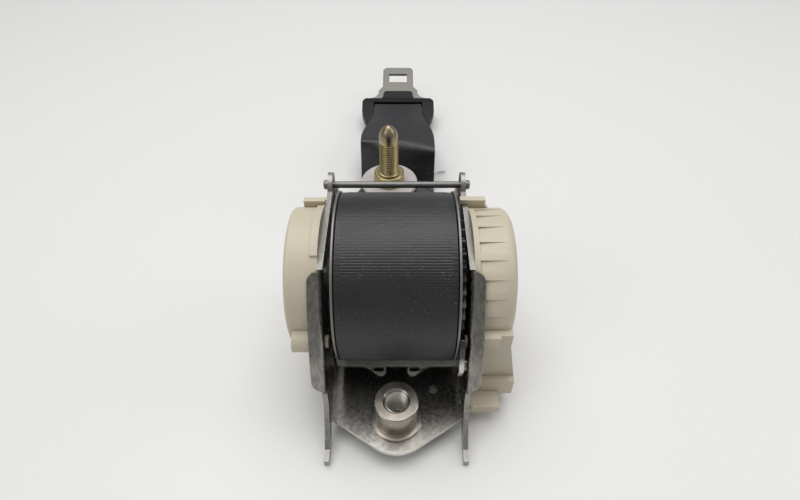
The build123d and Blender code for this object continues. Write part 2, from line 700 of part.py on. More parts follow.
lock_teeth = 24
gear_outline = []
for tooth in range(lock_teeth):
    for radius, turn in ((LOCK_GEAR_RADIUS - 1.6, 0.0), (LOCK_GEAR_RADIUS, 0.9)):
        angle = radians((tooth + turn) * 360 / lock_teeth)
        gear_outline.append((radius * cos(angle), radius * sin(angle)))
gear_from = SENSOR_X - LOCK_GEAR_THICK / 2
with BuildPart() as lock_gear:
    with BuildSketch(on_axle(gear_from)):
        with BuildLine():
            Polyline(*gear_outline, close=True)
        make_face()
        Circle(JOURNAL_RADIUS, mode=Mode.SUBTRACT)
        with PolarLocations(14.5, 5):
            Circle(4.0, mode=Mode.SUBTRACT)
    extrude(amount=LOCK_GEAR_THICK)
    with BuildSketch(on_axle(LOCK_HUB_START)):
        Circle(JOURNAL_RADIUS + 2.0)
        Circle(JOURNAL_RADIUS, mode=Mode.SUBTRACT)
    extrude(amount=gear_from - LOCK_HUB_START)
save(lock_gear, "lock_gear")

box_outline = (
    (BOX_FRONT, SPOOL_Z),
    (BOX_FRONT, BOX_LEDGE),
    (BOX_FRONT - BOX_STEP, BOX_LEDGE),
    (BOX_FRONT - BOX_STEP, BOX_BOTTOM),
    (SPOOL_Y - 8.0, BOX_BOTTOM),
    (SPOOL_Y + 4.0, SPOOL_Z - sensor_room),
    (SPOOL_Y, SPOOL_Z),
)
box_room = (
    (BOX_FRONT + COVER_WALL, BOX_TOP - 2.0),
    (BOX_FRONT + COVER_WALL, BOX_LEDGE - COVER_WALL),
    (BOX_FRONT - BOX_STEP + COVER_WALL, BOX_LEDGE - COVER_WALL),
    (BOX_FRONT - BOX_STEP + COVER_WALL, BOX_BOTTOM + COVER_WALL),
    (SPOOL_Y - 8.6, BOX_BOTTOM + COVER_WALL),
    (SPOOL_Y + 2.0, SPOOL_Z - sensor_room + COVER_WALL),
    (SPOOL_Y, SPOOL_Z),
)
box_top_out = SENSOR_COVER_DEPTH - BOX_INSET
with BuildPart() as sensor_box:
    with BuildSketch(across(CHEEK_OUT)):
        with BuildLine():
            Polyline(*box_outline, close=True)
        make_face()
    extrude(amount=BOX_FOOT_OUT)
    # The box's outer side leans in towards the drum.
    with BuildSketch(Plane.XZ):
        with BuildLine():
            Polyline(
                (CHEEK_OUT + box_top_out, SPOOL_Z + 1),
                (CHEEK_OUT + box_top_out, BOX_TOP),
                (CHEEK_OUT + BOX_FOOT_OUT, BOX_LEDGE),
                (CHEEK_OUT + BOX_FOOT_OUT + 1, BOX_LEDGE),
                (CHEEK_OUT + BOX_FOOT_OUT + 1, SPOOL_Z + 1),
                close=True,
            )
        make_face()
    extrude(amount=-2 * SPOOL_Y, mode=Mode.SUBTRACT)
# One step of the drum's side, which fades towards the round end.
rib_turn = radians(360 / RIB_COUNT)
rib_length = SENSOR_COVER_DEPTH - RIM_WIDTH - SENSOR_EDGE_RADIUS
with BuildPart() as rib_cut:
    for reach, depth in ((0, RIB_STEP), (rib_length, 0)):
        with BuildSketch(on_axle(CHEEK_OUT + RIM_WIDTH + reach)):
            low, high = SENSOR_COVER_RADIUS - depth, SENSOR_COVER_RADIUS + 0.5
            with BuildLine():
                Polyline(
                    (low, 0),
                    (high, 0),
                    (high * cos(rib_turn), high * sin(rib_turn)),
                    close=True,
                )
            make_face()
    loft(ruled=True)
with BuildPart() as sensor_cover:
    with BuildSketch(on_axle(CHEEK_OUT)):
        Circle(SENSOR_COVER_RADIUS)
    extrude(amount=SENSOR_COVER_DEPTH)
    fillet(sensor_cover.edges().group_by(Axis.X)[-1], SENSOR_EDGE_RADIUS)
    # The drum's side is stepped like a ratchet, between a rim at the cheek and the round end.
    for rib in range(RIB_COUNT):
        turn = rib * 360 / RIB_COUNT
        add(rib_cut.part.rotate(Axis((0, SPOOL_Y, SPOOL_Z), (1, 0, 0)), turn), mode=Mode.SUBTRACT)
    add(sensor_box.part)
    # Foot of the box, with a peg, in front of the cheek's leg.
    with BuildSketch(across(CHEEK_OUT)):
        with Locations((BOX_FRONT - FOOT_LENGTH / 2, BOX_BOTTOM)):
            Rectangle(FOOT_LENGTH, FOOT_HEIGHT)
    extrude(amount=FOOT_OUT)
    with Locations((CHEEK_OUT + 2.3, 5.0, 3.8)):
        Cylinder(2.2, 3.6, align=(Align.CENTER, Align.CENTER, Align.MIN))
    with BuildSketch(across(CHEEK_OUT)):
        with Locations((BOX_FRONT - 0.1, BOX_TOP + 3.7)):
            Rectangle(3.0, EAR_WIDTH - 0.4)
    extrude(amount=EAR_LENGTHS[0])
    with BuildSketch(on_axle(CHEEK_OUT)):
        Circle(sensor_room)
    extrude(amount=SENSOR_COVER_DEPTH - COVER_WALL, mode=Mode.SUBTRACT)
    with BuildSketch(across(CHEEK_OUT + COVER_WALL)):
        with BuildLine():
            Polyline(*box_room, close=True)
        make_face()
    extrude(amount=box_top_out - 2 * COVER_WALL, mode=Mode.SUBTRACT)
    # Lug at the top with a hook over the cheek's edge.
    with BuildSketch(across(CHEEK_OUT)):
        with Locations((LUG_Y, CHEEK_HEIGHT - 0.5)):
            Rectangle(LUG_LENGTH, 6.0)
        with Locations((SPOOL_Y, SPOOL_Z)):
            Circle(sensor_room, mode=Mode.SUBTRACT)
    extrude(amount=LUG_REACH)
    with BuildSketch(Plane.XZ.offset(-LUG_Y - LUG_LENGTH / 2)):
        with BuildLine():
            Polyline(
                (CHEEK_OUT, CHEEK_HEIGHT - 0.5),
                (CHEEK_OUT + LUG_REACH, CHEEK_HEIGHT - 0.5),
                (CHEEK_OUT + LUG_REACH + 2.7, CHEEK_HEIGHT - 4.5),
                (CHEEK_OUT + LUG_REACH + 2.7, CHEEK_HEIGHT - 4.9),
                (CHEEK_OUT, CHEEK_HEIGHT - 4.9),
                close=True,
            )
        make_face()
    extrude(amount=LUG_LENGTH)
    with BuildSketch(across(CHEEK_IN - HOOK_OVERHANG)):
        with Locations((LUG_Y, CHEEK_HEIGHT + SEAT_GAP + 1.15)):
            Rectangle(LUG_LENGTH, 2.3)
    extrude(amount=SHEET + HOOK_OVERHANG)
    for pin_at in cover_pins_at:
        with BuildSketch(across(CHEEK_OUT)):
            with Locations(pin_at):
                Circle(COVER_PIN_RADIUS + 1.2)
            with Locations((SPOOL_Y, SPOOL_Z)):
                Circle(SENSOR_COVER_RADIUS - 1.0, mode=Mode.SUBTRACT)
        extrude(amount=3.0)
save(sensor_cover, "sensor_cover")

housing_foot = BOX_BOTTOM + COVER_WALL + 0.1
post_back, post_front = SENSOR_Y - 7.0, SENSOR_Y - 3.5
lever_pivot = (SENSOR_Y - 5.2, SENSOR_Z + 7.5)
with BuildPart() as sensor_housing:
    with BuildSketch(Plane.XY.offset(housing_foot)):
        with Locations((SENSOR_X, SENSOR_Y + 0.3)):
            Rectangle(8.6, 14.6)
    extrude(amount=SENSOR_Z - housing_foot - 2.2)
    for side in (-1, 1):
        with BuildSketch(across(SENSOR_X + side * 3.3)):
            with BuildLine():
                Polyline(
                    (post_back, housing_foot),
                    (post_back, lever_pivot[1] + 2.0),
                    (post_front, lever_pivot[1] + 2.0),
                    (post_front, housing_foot),
                    close=True,
                )
            make_face()
            with Locations(lever_pivot):
                Circle(0.85, mode=Mode.SUBTRACT)
        extrude(amount=side * 1.0)
    with Locations((SENSOR_X, SENSOR_Y, SENSOR_Z)):
        Sphere(BALL_RADIUS + RUNNING_GAP, mode=Mode.SUBTRACT)
    # Room for the ball to rise between the posts.
    with BuildSketch(Plane.XY.offset(SENSOR_Z)):
        with Locations((SENSOR_X, SENSOR_Y)):
            Circle(BALL_RADIUS + SEAT_GAP)
    extrude(amount=BALL_RADIUS + BALL_RISE, mode=Mode.SUBTRACT)
save(sensor_housing, "sensor_housing")

with BuildPart() as sensor_ball:
    with Locations((SENSOR_X, SENSOR_Y, SENSOR_Z)):
        Sphere(BALL_RADIUS)
save(sensor_ball, "sensor_ball")

with BuildPart() as sensor_lever:
    with BuildSketch(across(SENSOR_X - 3.0)):
        with BuildLine():
            Polyline(
                (lever_pivot[0] - 1.0, lever_pivot[1] - 1.6),
                (lever_pivot[0] + 2.0, lever_pivot[1] - 2.2),
                (SENSOR_Y + 6.0, SENSOR_Z + BALL_RADIUS + 0.3),
                (SENSOR_Y + 12.0, SENSOR_Z + BALL_RADIUS + 2.0),
                (SENSOR_Y + 14.4, SENSOR_Z + BALL_RADIUS + 2.6),
                (SENSOR_Y + 12.0, SENSOR_Z + BALL_RADIUS + 3.4),
                (SENSOR_Y + 6.0, SENSOR_Z + BALL_RADIUS + 1.6),
                (lever_pivot[0] + 1.6, lever_pivot[1] + 0.4),
                close=True,
            )
        make_face()
        with Locations(lever_pivot):
            Circle(1.7)
    extrude(amount=6.0)
    with BuildSketch(across(SENSOR_X - 4.2)):
        with Locations(lever_pivot):
            Circle(0.8)
    extrude(amount=8.4)
save(sensor_lever, "sensor_lever")

# Free end of the belt: under the roll, along the floor, up round the tongue's bar, back over a
# crest and down to the floor anchor's bar, where its end is folded under itself and sewn.
layer = BELT_THICK + SEAT_GAP
floor_layer = FLOOR_Z + BELT_THICK / 2
anchor_bar_z = ANCHOR_Z + ANCHOR_PLATE / 2
loop_radius = ANCHOR_BAR / 2 + SEAT_GAP + BELT_THICK / 2
loop_corner = 0.9 * loop_radius
tongue_far = TONGUE_Y + (TONGUE_SLOT_NEAR + TONGUE_SLOT_FAR) / 2 - 0.2
BELT_TOP_Z = TONGUE_Z + 5.9
CREST_Y, CREST_Z = 176.0, 22.0
belt_corners = (
    (SPOOL_Y - 5.0, BELT_EXIT_Z),
    (FRAME_BACK + 3.5, BELT_EXIT_Z, 8.0),
    (FRAME_BACK + 20.0, floor_layer, 12.0),
    (tongue_far, floor_layer, 6.6),
    (tongue_far, BELT_TOP_Z, 8.4),
    (CREST_Y, CREST_Z, 6.0),
    (163.0, floor_layer + layer, 6.0),
    (ANCHOR_BAR_Y - loop_radius, floor_layer + layer, 2.5),
    (ANCHOR_BAR_Y - loop_radius, anchor_bar_z + loop_radius, loop_corner),
    (ANCHOR_BAR_Y + loop_radius, anchor_bar_z + loop_radius, loop_corner),
    (ANCHOR_BAR_Y + loop_radius, floor_layer + 2 * layer, 2.0),
    (156.0, floor_layer + 2 * layer),
)
belt_outline = ribbon(rounded_path(belt_corners), BELT_THICK)
neck_from, neck_to = TONGUE_Y - 52.0, TONGUE_Y - 10.0
with BuildPart() as belt_strap:
    with BuildSketch(across(-BELT_WIDTH / 2)):
        with BuildLine():
            Polyline(*belt_outline, close=True)
        make_face()
    extrude(amount=BELT_WIDTH)
    with BuildSketch(Plane.XY.offset(FLOOR_Z - 1)):
        with BuildLine():
            edge = Spline(
                (BELT_WIDTH / 2 + 0.01, neck_from),
                (BELT_WIDTH / 4 + BELT_NECK / 4, (neck_from + neck_to) / 2),
                (BELT_NECK / 2, neck_to),
                tangents=((0, 1), (0, 1)),
            )
            Polyline(
                edge @ 1,
                (BELT_NECK / 2, TONGUE_Y + 30),
                (BELT_WIDTH / 2 + 1, TONGUE_Y + 30),
                (BELT_WIDTH / 2 + 1, neck_from),
                edge @ 0,
            )
        make_face()
        mirror(about=Plane.YZ)
    extrude(amount=60, mode=Mode.SUBTRACT)
save(belt_strap, "belt_strap")

# Latch tongue: a steel insert with a catch window, and the grip moulded round its inner end.
tongue_axis = Vector(0, cos(radians(TONGUE_TILT)), sin(radians(TONGUE_TILT)))
tongue_normal = Vector(0, -sin(radians(TONGUE_TILT)), cos(radians(TONGUE_TILT)))
tongue_centre = Vector(0, TONGUE_Y, TONGUE_Z)
# In the tongue's plane x runs back along -X and y along the tongue, so that its normal is up.
tongue_plane = Plane(origin=tongue_centre, x_dir=(1, 0, 0), z_dir=tongue_normal)
GRIP_END, GRIP_START = 18.0, -9.0
GRIP_LIP = 1.0
SHOULDER_HALF = BLADE_WIDTH / 2 + 3.2
INSERT_HALF = GRIP_WIDTH / 2 - 3.5
INSERT_START = TONGUE_SLOT_FAR + 1.4
with BuildPart() as tongue_blade:
    with BuildSketch(tongue_plane.offset(-BLADE_THICK / 2)):
        with BuildLine():
            Polyline(
                (0, INSERT_START),
                (INSERT_HALF, INSERT_START),
                (INSERT_HALF, GRIP_END),
                (SHOULDER_HALF + 2.0, GRIP_END + 2.6),
                (SHOULDER_HALF, GRIP_END + 5.6),
                (SHOULDER_HALF, GRIP_END + 9.0),
                (BLADE_WIDTH / 2, GRIP_END + 13.0),
                (BLADE_WIDTH / 2, BLADE_TIP),
                (0, BLADE_TIP),
                close=True,
            )
        make_face()
        mirror(about=Plane.YZ)
        with Locations((0, WINDOW_MIDDLE)):
            Rectangle(WINDOW_WIDTH, WINDOW_LENGTH, mode=Mode.SUBTRACT)
    extrude(amount=BLADE_THICK)
    corners = tongue_blade.edges().filter_by(GeomType.LINE).filter_by(
        lambda e: abs(e.length - BLADE_THICK) < 0.01
    ).filter_by(lambda e: abs(abs(e.center().X) - BLADE_WIDTH / 2) < 0.1)
    fillet(corners.sort_by(Axis.Y)[-2:], BLADE_CORNER)
save(tongue_blade, "tongue_blade")

with BuildPart() as tongue_grip:
    side_plane = Plane(
        origin=tongue_centre - Vector(GRIP_WIDTH / 2, 0, 0), x_dir=tongue_axis, z_dir=(1, 0, 0)
    )
    half = GRIP_THICK / 2
    with BuildSketch(side_plane):
        with BuildLine():
            Polyline(
                (GRIP_START, -1.4),
                (GRIP_START + 3.0, -half + 0.4),
                (-1.0, -half),
                (GRIP_END - 5.0, -half),
                (GRIP_END, -half + 1.0),
                (GRIP_END, half - 1.0),
                (GRIP_END - 5.0, half),
                (-1.0, half),
                (GRIP_START + 3.0, half - 0.4),
                (GRIP_START, 1.4),
                close=True,
            )
        make_face()
    extrude(amount=GRIP_WIDTH)
    # The ends of the grip are round in plan, and taper towards the blade.
    with BuildSketch(tongue_plane.offset(-half - 1)):
        with BuildLine():
            Polyline(
                (GRIP_WIDTH / 2 + 1, GRIP_START - 1),
                (GRIP_WIDTH / 2 - 5.0, GRIP_START - 1),
                (GRIP_WIDTH / 2 - 3.2, GRIP_START + 3.0),
                (GRIP_WIDTH / 2 - 1.2, GRIP_START + 8.0),
                (GRIP_WIDTH / 2, GRIP_START + 13.0),
                (GRIP_WIDTH / 2, GRIP_END - 4.0),
                (GRIP_WIDTH / 2 - 0.8, GRIP_END - 1.6),
                (GRIP_WIDTH / 2 - 2.6, GRIP_END),
                (GRIP_WIDTH / 2 - 2.6, GRIP_END + 1),
                (GRIP_WIDTH / 2 + 1, GRIP_END + 1),
                close=True,
            )
        make_face()
        mirror(about=Plane.YZ)
    extrude(amount=GRIP_THICK + 2, mode=Mode.SUBTRACT)
    with BuildSketch(tongue_plane.offset(-half - 1)):
        with Locations((0, (TONGUE_SLOT_NEAR + TONGUE_SLOT_FAR) / 2)):
            Rectangle(TONGUE_SLOT_WIDTH, TONGUE_SLOT_FAR - TONGUE_SLOT_NEAR)
    extrude(amount=GRIP_THICK + 2, mode=Mode.SUBTRACT)
    with BuildSketch(tongue_plane.offset(-BLADE_THICK / 2)):
        with BuildLine():
            Polyline(
                (INSERT_HALF, INSERT_START),
                (INSERT_HALF, GRIP_END + 1),
                (-INSERT_HALF, GRIP_END + 1),
                (-INSERT_HALF, INSERT_START),
                close=True,
            )
        make_face()
    extrude(amount=BLADE_THICK, mode=Mode.SUBTRACT)
    # Lip over the middle of the blade.
    with BuildSketch(tongue_plane.offset(BLADE_THICK / 2)):
        with BuildLine():
            Polyline(
                (0, GRIP_END - 1),
                (SHOULDER_HALF - 2.2, GRIP_END - 1),
                (SHOULDER_HALF - 3.4, GRIP_END + 2.0),
                (SHOULDER_HALF - 4.0, GRIP_END + 6.0),
                (SHOULDER_HALF - 5.4, GRIP_END + 7.4),
                (0, GRIP_END + 7.4),
                close=True,
            )
        make_face()
        mirror(about=Plane.YZ)
    extrude(amount=GRIP_LIP)
save(tongue_grip, "tongue_grip")

# Floor anchor: a plate with a slot for the belt's loop and a hole for the bolt's shoulder.
anchor_half = BELT_WIDTH / 2 + 5.5
with BuildPart() as anchor_plate:
    with BuildSketch(Plane.XY.offset(ANCHOR_Z)):
        with BuildLine():
            front = ANCHOR_BAR_Y - ANCHOR_BAR / 2
            Polyline(
                (BOLT_X - ANCHOR_END_RADIUS, BOLT_Y),
                (2.0 - anchor_half, front + 14.5),
                (-anchor_half, front + 11.0),
                (-anchor_half, front),
                (anchor_half, front),
                (anchor_half, front + 11.0),
                (anchor_half - 2.0, front + 14.5),
                (BOLT_X + ANCHOR_END_RADIUS, BOLT_Y),
                close=True,
            )
        make_face()
        with Locations((BOLT_X, BOLT_Y)):
            Circle(ANCHOR_END_RADIUS)
            Circle(ANCHOR_HOLE, mode=Mode.SUBTRACT)
        with Locations((0, ANCHOR_BAR_Y + ANCHOR_BAR / 2 + ANCHOR_SLOT / 2)):
            Rectangle(BELT_WIDTH + 3.0, ANCHOR_SLOT, mode=Mode.SUBTRACT)
    extrude(amount=ANCHOR_PLATE)
    bar_edges = anchor_plate.edges().filter_by(Axis.X).group_by(Axis.Y)
    fillet(bar_edges[0] + bar_edges[1], ANCHOR_BAR / 2 - 0.01)
save(anchor_plate, "anchor_plate")

shoulder_top = ANCHOR_Z + ANCHOR_PLATE + SPRING_WASHER
washer_top = shoulder_top + WASHER_THICK
spacer_top = washer_top + SPACER_HEIGHT
thread_top = washer_top + SPACER_HEIGHT + THREAD_LENGTH - 1.7
bolt_at = Plane(origin=(BOLT_X, BOLT_Y, 0))
with BuildPart() as anchor_bolt:
    with BuildSketch(bolt_at.offset(HEAD_BOTTOM)):
        RegularPolygon(HEAD_FLATS / 2 / cos(radians(30)), 6)
    extrude(amount=BOLT_HEAD_HEIGHT - HEAD_FLANGE)
    with BuildSketch(bolt_at.offset(HEAD_BOTTOM + BOLT_HEAD_HEIGHT - HEAD_FLANGE)):
        Circle(HEAD_FLANGE_RADIUS)
    extrude(amount=HEAD_FLANGE - SIDE_GAP)
    with BuildSketch(bolt_at.offset(HEAD_BOTTOM + BOLT_HEAD_HEIGHT - 1.0)):
        Circle(ANCHOR_HOLE - SIDE_GAP)
    extrude(amount=shoulder_top - ANCHOR_Z + 1.0)
    with BuildSketch(bolt_at.offset(shoulder_top)):
        Circle(SHANK_RADIUS)
    extrude(amount=spacer_top + 0.3 - shoulder_top)
    with BuildSketch(bolt_at.offset(spacer_top + 0.3)):
        Circle(BOLT_RADIUS)
    extrude(amount=thread_top - spacer_top - 0.3)
    # Bullet-shaped tip, which finds its nut by itself.
    with BuildSketch(Plane(origin=(BOLT_X, BOLT_Y, thread_top), x_dir=(1, 0, 0), z_dir=(0, -1, 0))):
        with BuildLine():
            nose = Spline(
                (BOLT_RADIUS, 0),
                (BOLT_RADIUS * 0.8, BOLT_TIP_LENGTH * 0.5),
                (BOLT_TIP_FLAT, BOLT_TIP_LENGTH),
                tangents=((0, 1), (-1, 1)),
            )
            Polyline(nose @ 1, (0, BOLT_TIP_LENGTH), (0, 0), nose @ 0)
        make_face()
    revolve(axis=Axis((BOLT_X, BOLT_Y, 0), (0, 0, 1)))
save(anchor_bolt, "anchor_bolt")

with BuildPart() as wave_washer:
    with BuildSketch(bolt_at.offset(ANCHOR_Z + ANCHOR_PLATE + SIDE_GAP)):
        Circle(11.0)
        Circle(ANCHOR_HOLE, mode=Mode.SUBTRACT)
    extrude(amount=SPRING_WASHER - SIDE_GAP)
save(wave_washer, "wave_washer")

with BuildPart() as retaining_washer:
    with BuildSketch(bolt_at.offset(shoulder_top)):
        Circle(WASHER_RADIUS)
        Circle(SHANK_RADIUS, mode=Mode.SUBTRACT)
    extrude(amount=WASHER_THICK)
    chamfer(retaining_washer.edges().group_by(Axis.Z)[-1].sort_by(SortBy.RADIUS)[-1], 0.6)
save(retaining_washer, "retaining_washer")

with BuildPart() as spacer:
    with BuildSketch(bolt_at.offset(washer_top)):
        Circle(SPACER_RADIUS)
        Circle(SHANK_RADIUS, mode=Mode.SUBTRACT)
    extrude(amount=SPACER_HEIGHT)
    chamfer(spacer.edges().group_by(Axis.Z)[-1].sort_by(SortBy.RADIUS)[-1], 0.8)
save(spacer, "spacer")
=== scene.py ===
from math import cos, pi, radians, sin

import bmesh
import bpy
from mathutils import Matrix, Vector
from mathutils.bvhtree import BVHTree


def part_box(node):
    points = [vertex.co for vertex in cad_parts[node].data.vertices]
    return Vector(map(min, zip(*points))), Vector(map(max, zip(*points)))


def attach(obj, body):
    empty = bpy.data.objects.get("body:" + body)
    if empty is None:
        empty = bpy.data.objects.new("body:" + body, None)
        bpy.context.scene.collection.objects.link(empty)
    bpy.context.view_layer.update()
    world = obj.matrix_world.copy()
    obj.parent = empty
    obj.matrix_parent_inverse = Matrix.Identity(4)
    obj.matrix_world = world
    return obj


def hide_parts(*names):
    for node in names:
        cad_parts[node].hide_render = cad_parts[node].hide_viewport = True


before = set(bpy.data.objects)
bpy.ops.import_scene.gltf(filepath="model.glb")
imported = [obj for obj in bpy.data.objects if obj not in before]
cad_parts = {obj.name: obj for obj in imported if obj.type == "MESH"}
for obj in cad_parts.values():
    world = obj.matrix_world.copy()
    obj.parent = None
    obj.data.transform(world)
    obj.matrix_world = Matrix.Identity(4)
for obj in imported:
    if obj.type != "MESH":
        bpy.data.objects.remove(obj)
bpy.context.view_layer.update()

# Camera: level, in front of the reel and above it, looking back and down along the belt. Its
# place and lens were fitted to the belt, the roll and the tongue.
camera_data = bpy.data.cameras.new("camera")
camera_data.sensor_width = 36
camera_data.lens = 24.3
camera = bpy.data.objects.new("camera", camera_data)
camera.location = (0.0015, -0.1093, 0.2226)
camera.rotation_euler = (radians(90 - 46.4), 0, 0)
bpy.context.collection.objects.link(camera)
bpy.context.scene.camera = camera
bpy.context.scene.view_settings.view_transform = "Standard"

# Light: a wide soft panel high above the belt, weaker ones at the front left and at the right,
# and a dim room all round. All three panels are aimed at the middle of the reel.
REEL_MIDDLE = Vector((0, 0.06, 0.02))
for name, location, size, power in (
    ("ceiling_panel", (-0.05, 0.32, 1.10), 1.1, 9.6),
    ("front_panel", (-0.75, -0.35, 0.80), 0.5, 1.4),
    ("right_panel", (0.85, 0.15, 0.65), 0.5, 1.4),
):
    lamp_data = bpy.data.lights.new(name, "AREA")
    lamp_data.size = size
    lamp_data.energy = power
    lamp = bpy.data.objects.new(name, lamp_data)
    lamp.location = location
    aim = REEL_MIDDLE - lamp.location
    lamp.rotation_euler = aim.to_track_quat("-Z", "Y").to_euler()
    bpy.context.collection.objects.link(lamp)
world = bpy.data.worlds.new("room")
world.use_nodes = True
bpy.context.scene.world = world
room = world.node_tree.nodes["Background"]
room.inputs["Color"].default_value = (1.0, 0.99, 0.97, 1)
room.inputs["Strength"].default_value = 0.31


# Table: a white laminate top with a fine grain, on which the reel lies. Its finish, like all
# that follow, is written with the next two classes.
class Signal:
    """A number, colour or vector in a finish; Python's operators on it add nodes."""

    def __init__(self, finish, socket):
        self.finish = finish
        self.socket = socket

    def maths(self, operation, *others):
        """Any other sum that a Math node knows."""
        return self.finish.node("Math", {"operation": operation}, (self, *others))

    def __add__(self, other):
        return self.maths("ADD", other)

    def __sub__(self, other):
        return self.maths("SUBTRACT", other)

    def __rsub__(self, other):
        return self.finish.node("Math", {"operation": "SUBTRACT"}, (other, self))

    def __mul__(self, other):
        return self.maths("MULTIPLY", other)

    __radd__ = __add__
    __rmul__ = __mul__

    def ripple(self, pitch):
        """A wave between 0 and 1, one pitch long."""
        return (self * (2 * pi / pitch)).maths("SINE") * 0.5 + 0.5

    def parts(self):
        """The x, y and z of a vector."""
        split = self.finish.node("SeparateXYZ", {}, (self,))
        return [Signal(self.finish, output) for output in split.socket.node.outputs]


class Finish:
    """A material with one shader, whose varying inputs are given as signals."""

    def __init__(self, name, **constants):
        self.material = bpy.data.materials.new(name)
        self.material.use_nodes = True
        self.tree = self.material.node_tree
        self.shader = self.tree.nodes["Principled BSDF"]
        self.set(**constants)

    def feed(self, socket, value):
        """Links a signal to a socket, or puts a constant straight on it."""
        if isinstance(value, Signal):
            self.tree.links.new(value.socket, socket)
        elif hasattr(socket.default_value, "__len__") and len(socket.default_value) == 4:
            socket.default_value = (*value[:3], 1)
        else:
            socket.default_value = value

    def set(self, **values):
        """Feeds the shader's inputs, named in small letters with underscores."""
        for name, value in values.items():
            label = name.replace("_", " ").title().replace("Ior", "IOR")
            self.feed(self.shader.inputs[label], value)
        return self

    def node(self, kind, settings=None, sockets=(), out=0):
        """Adds a node; its sockets are given in order or by name."""
        node = self.tree.nodes.new("ShaderNode" + kind)
        for key, value in (settings or {}).items():
            if key == "stops":
                ramp = node.color_ramp.elements
                while len(ramp) < len(value):
                    ramp.new(0.5)
                for stop, (position, shade) in zip(ramp, value):
                    stop.position = position
                    stop.color = (*shade, 1) if hasattr(shade, "__len__") else (shade,) * 3 + (1,)
            else:
                setattr(node, key, value)
        pairs = sockets.items() if isinstance(sockets, dict) else enumerate(sockets)
        for key, value in pairs:
            self.feed(node.inputs[key], value)
        return Signal(self, node.outputs[out])

    def coordinates(self, stretch=(1, 1, 1), shift=(0, 0, 0)):
        """Places on the object, stretched and then shifted."""
        place = self.node("TexCoord", out="Object")
        return self.node("Mapping", {}, {"Vector": place, "Scale": stretch, "Location": shift})

    def noise(self, scale, detail=3, roughness=0.5, **mapping):
        """A cloudy pattern between 0 and 1, on coordinates mapped as asked."""
        return self.node("TexNoise", {}, {
            "Vector": self.coordinates(**mapping),
            "Scale": scale,
            "Detail": detail,
            "Roughness": roughness,
        })

    def ramp(self, signal, *stops):
        """A number or colour that changes with a signal between the stops given."""
        return self.node("ValToRGB", {"stops": stops}, (signal,))

    def mixed(self, amount, first, second):
        """A colour between two."""
        return self.node("Mix", {"data_type": "RGBA"}, {0: amount, 6: first, 7: second}, out=2)

    def relief(self, height, depth):
        """Bump from a height that runs from 0 to 1, as deep as given in metres."""
        normal = self.node("Bump", {}, {"Height": height, "Distance": depth, "Strength": 1.0})
        return self.set(normal=normal)


laminate = Finish("laminate", roughness=0.42)
laminate.set(
    base_color=laminate.ramp(
        laminate.noise(260, 4, stretch=(1, 6, 1)),
        (0.3, (0.82, 0.82, 0.81)),
        (0.7, (0.84, 0.84, 0.83)),
    )
)
TABLE_HALF = 3.0
table_top = bpy.data.objects.new("table_top", bpy.data.meshes.new("table_top"))
top_mesh = bmesh.new()
bmesh.ops.create_grid(top_mesh, x_segments=1, y_segments=1, size=TABLE_HALF)
top_mesh.to_mesh(table_top.data)
top_mesh.free()
table_top.location.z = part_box("frame")[0].z
table_top.data.materials.append(laminate.material)
bpy.context.collection.objects.link(table_top)

# Webbing: polyester, 47 mm wide and near black, woven with fine ribs across it and a flat band
# along each edge. The roll and the free end share its finish, which reads the webbing's own
# width and length, in metres, from a UV map. Fibres that stand up catch the light as specks.
BELT_WIDTH = 0.047
BELT_THICK = 0.0012
EDGE_BAND = 0.0022
RIB_PITCH = 0.00115
CORD_PITCH = 0.0012
EDGE_PITCH = 0.0021
WEAVE_DEPTH = 0.00016
BELT_BLACK = (0.0095, 0.0102, 0.0125)


def toned(shade, factor):
    """A colour made darker or lighter, but never quite white."""
    return [min(part * factor, 0.95) for part in shade]


webbing = Finish(
    "webbing",
    specular_ior_level=0.62,
    sheen_weight=0.06,
    sheen_roughness=0.4,
    sheen_tint=(0.75, 0.85, 1.0),
)
across, along, _ = webbing.node("UVMap", {"uv_map": "weave"}).parts()
ribs = along.ripple(RIB_PITCH)
cords = across.ripple(CORD_PITCH)
off_centre = (across - BELT_WIDTH / 2).maths("ABSOLUTE")
edge_band = off_centre.maths("GREATER_THAN", BELT_WIDTH / 2 - EDGE_BAND)
weave = ribs * 0.85 + cords * 0.15 + edge_band * (along.ripple(EDGE_PITCH) - ribs) * 0.6
patches = webbing.ramp(
    webbing.noise(26, stretch=(1, 3, 3), shift=(0.3, 0.1, 0.2)), (0.38, 0.15), (0.62, 1.0)
)
broken = webbing.noise(330, 2, stretch=(1, 5, 5), shift=(0, 0.2, 0))
surface = (weave - 0.5) * patches * (broken * 1.1 + 0.1) + 0.5
fade = webbing.noise(55, 4)
fuzz = webbing.noise(900, 2)
specks = webbing.ramp(webbing.noise(1300, 1), (0.64, 0.0), (0.74, 1.0))
base = webbing.mixed(surface, toned(BELT_BLACK, 0.55), toned(BELT_BLACK, 1.45))
faded = webbing.mixed(fade * fuzz * 0.4, base, toned(BELT_BLACK, 2.2))
webbing.set(base_color=webbing.mixed(specks * patches * 0.28, faded, (0.30, 0.31, 0.33)))
webbing.set(roughness=0.43 - surface * 0.08 + fade * 0.10)
webbing.relief(surface + fuzz * 0.2, WEAVE_DEPTH)


def new_piece(name, mesh, body, slot, *finishes, replaces=()):
    """Makes a mesh into a piece that rides on a body and may stand for CAD nodes."""
    data = bpy.data.meshes.new(name)
    mesh.to_mesh(data)
    mesh.free()
    piece = bpy.data.objects.new(name, data)
    bpy.context.collection.objects.link(piece)
    for finish in finishes:
        data.materials.append(finish.material)
    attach(piece, body)
    if replaces:
        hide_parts(*replaces)
    return piece


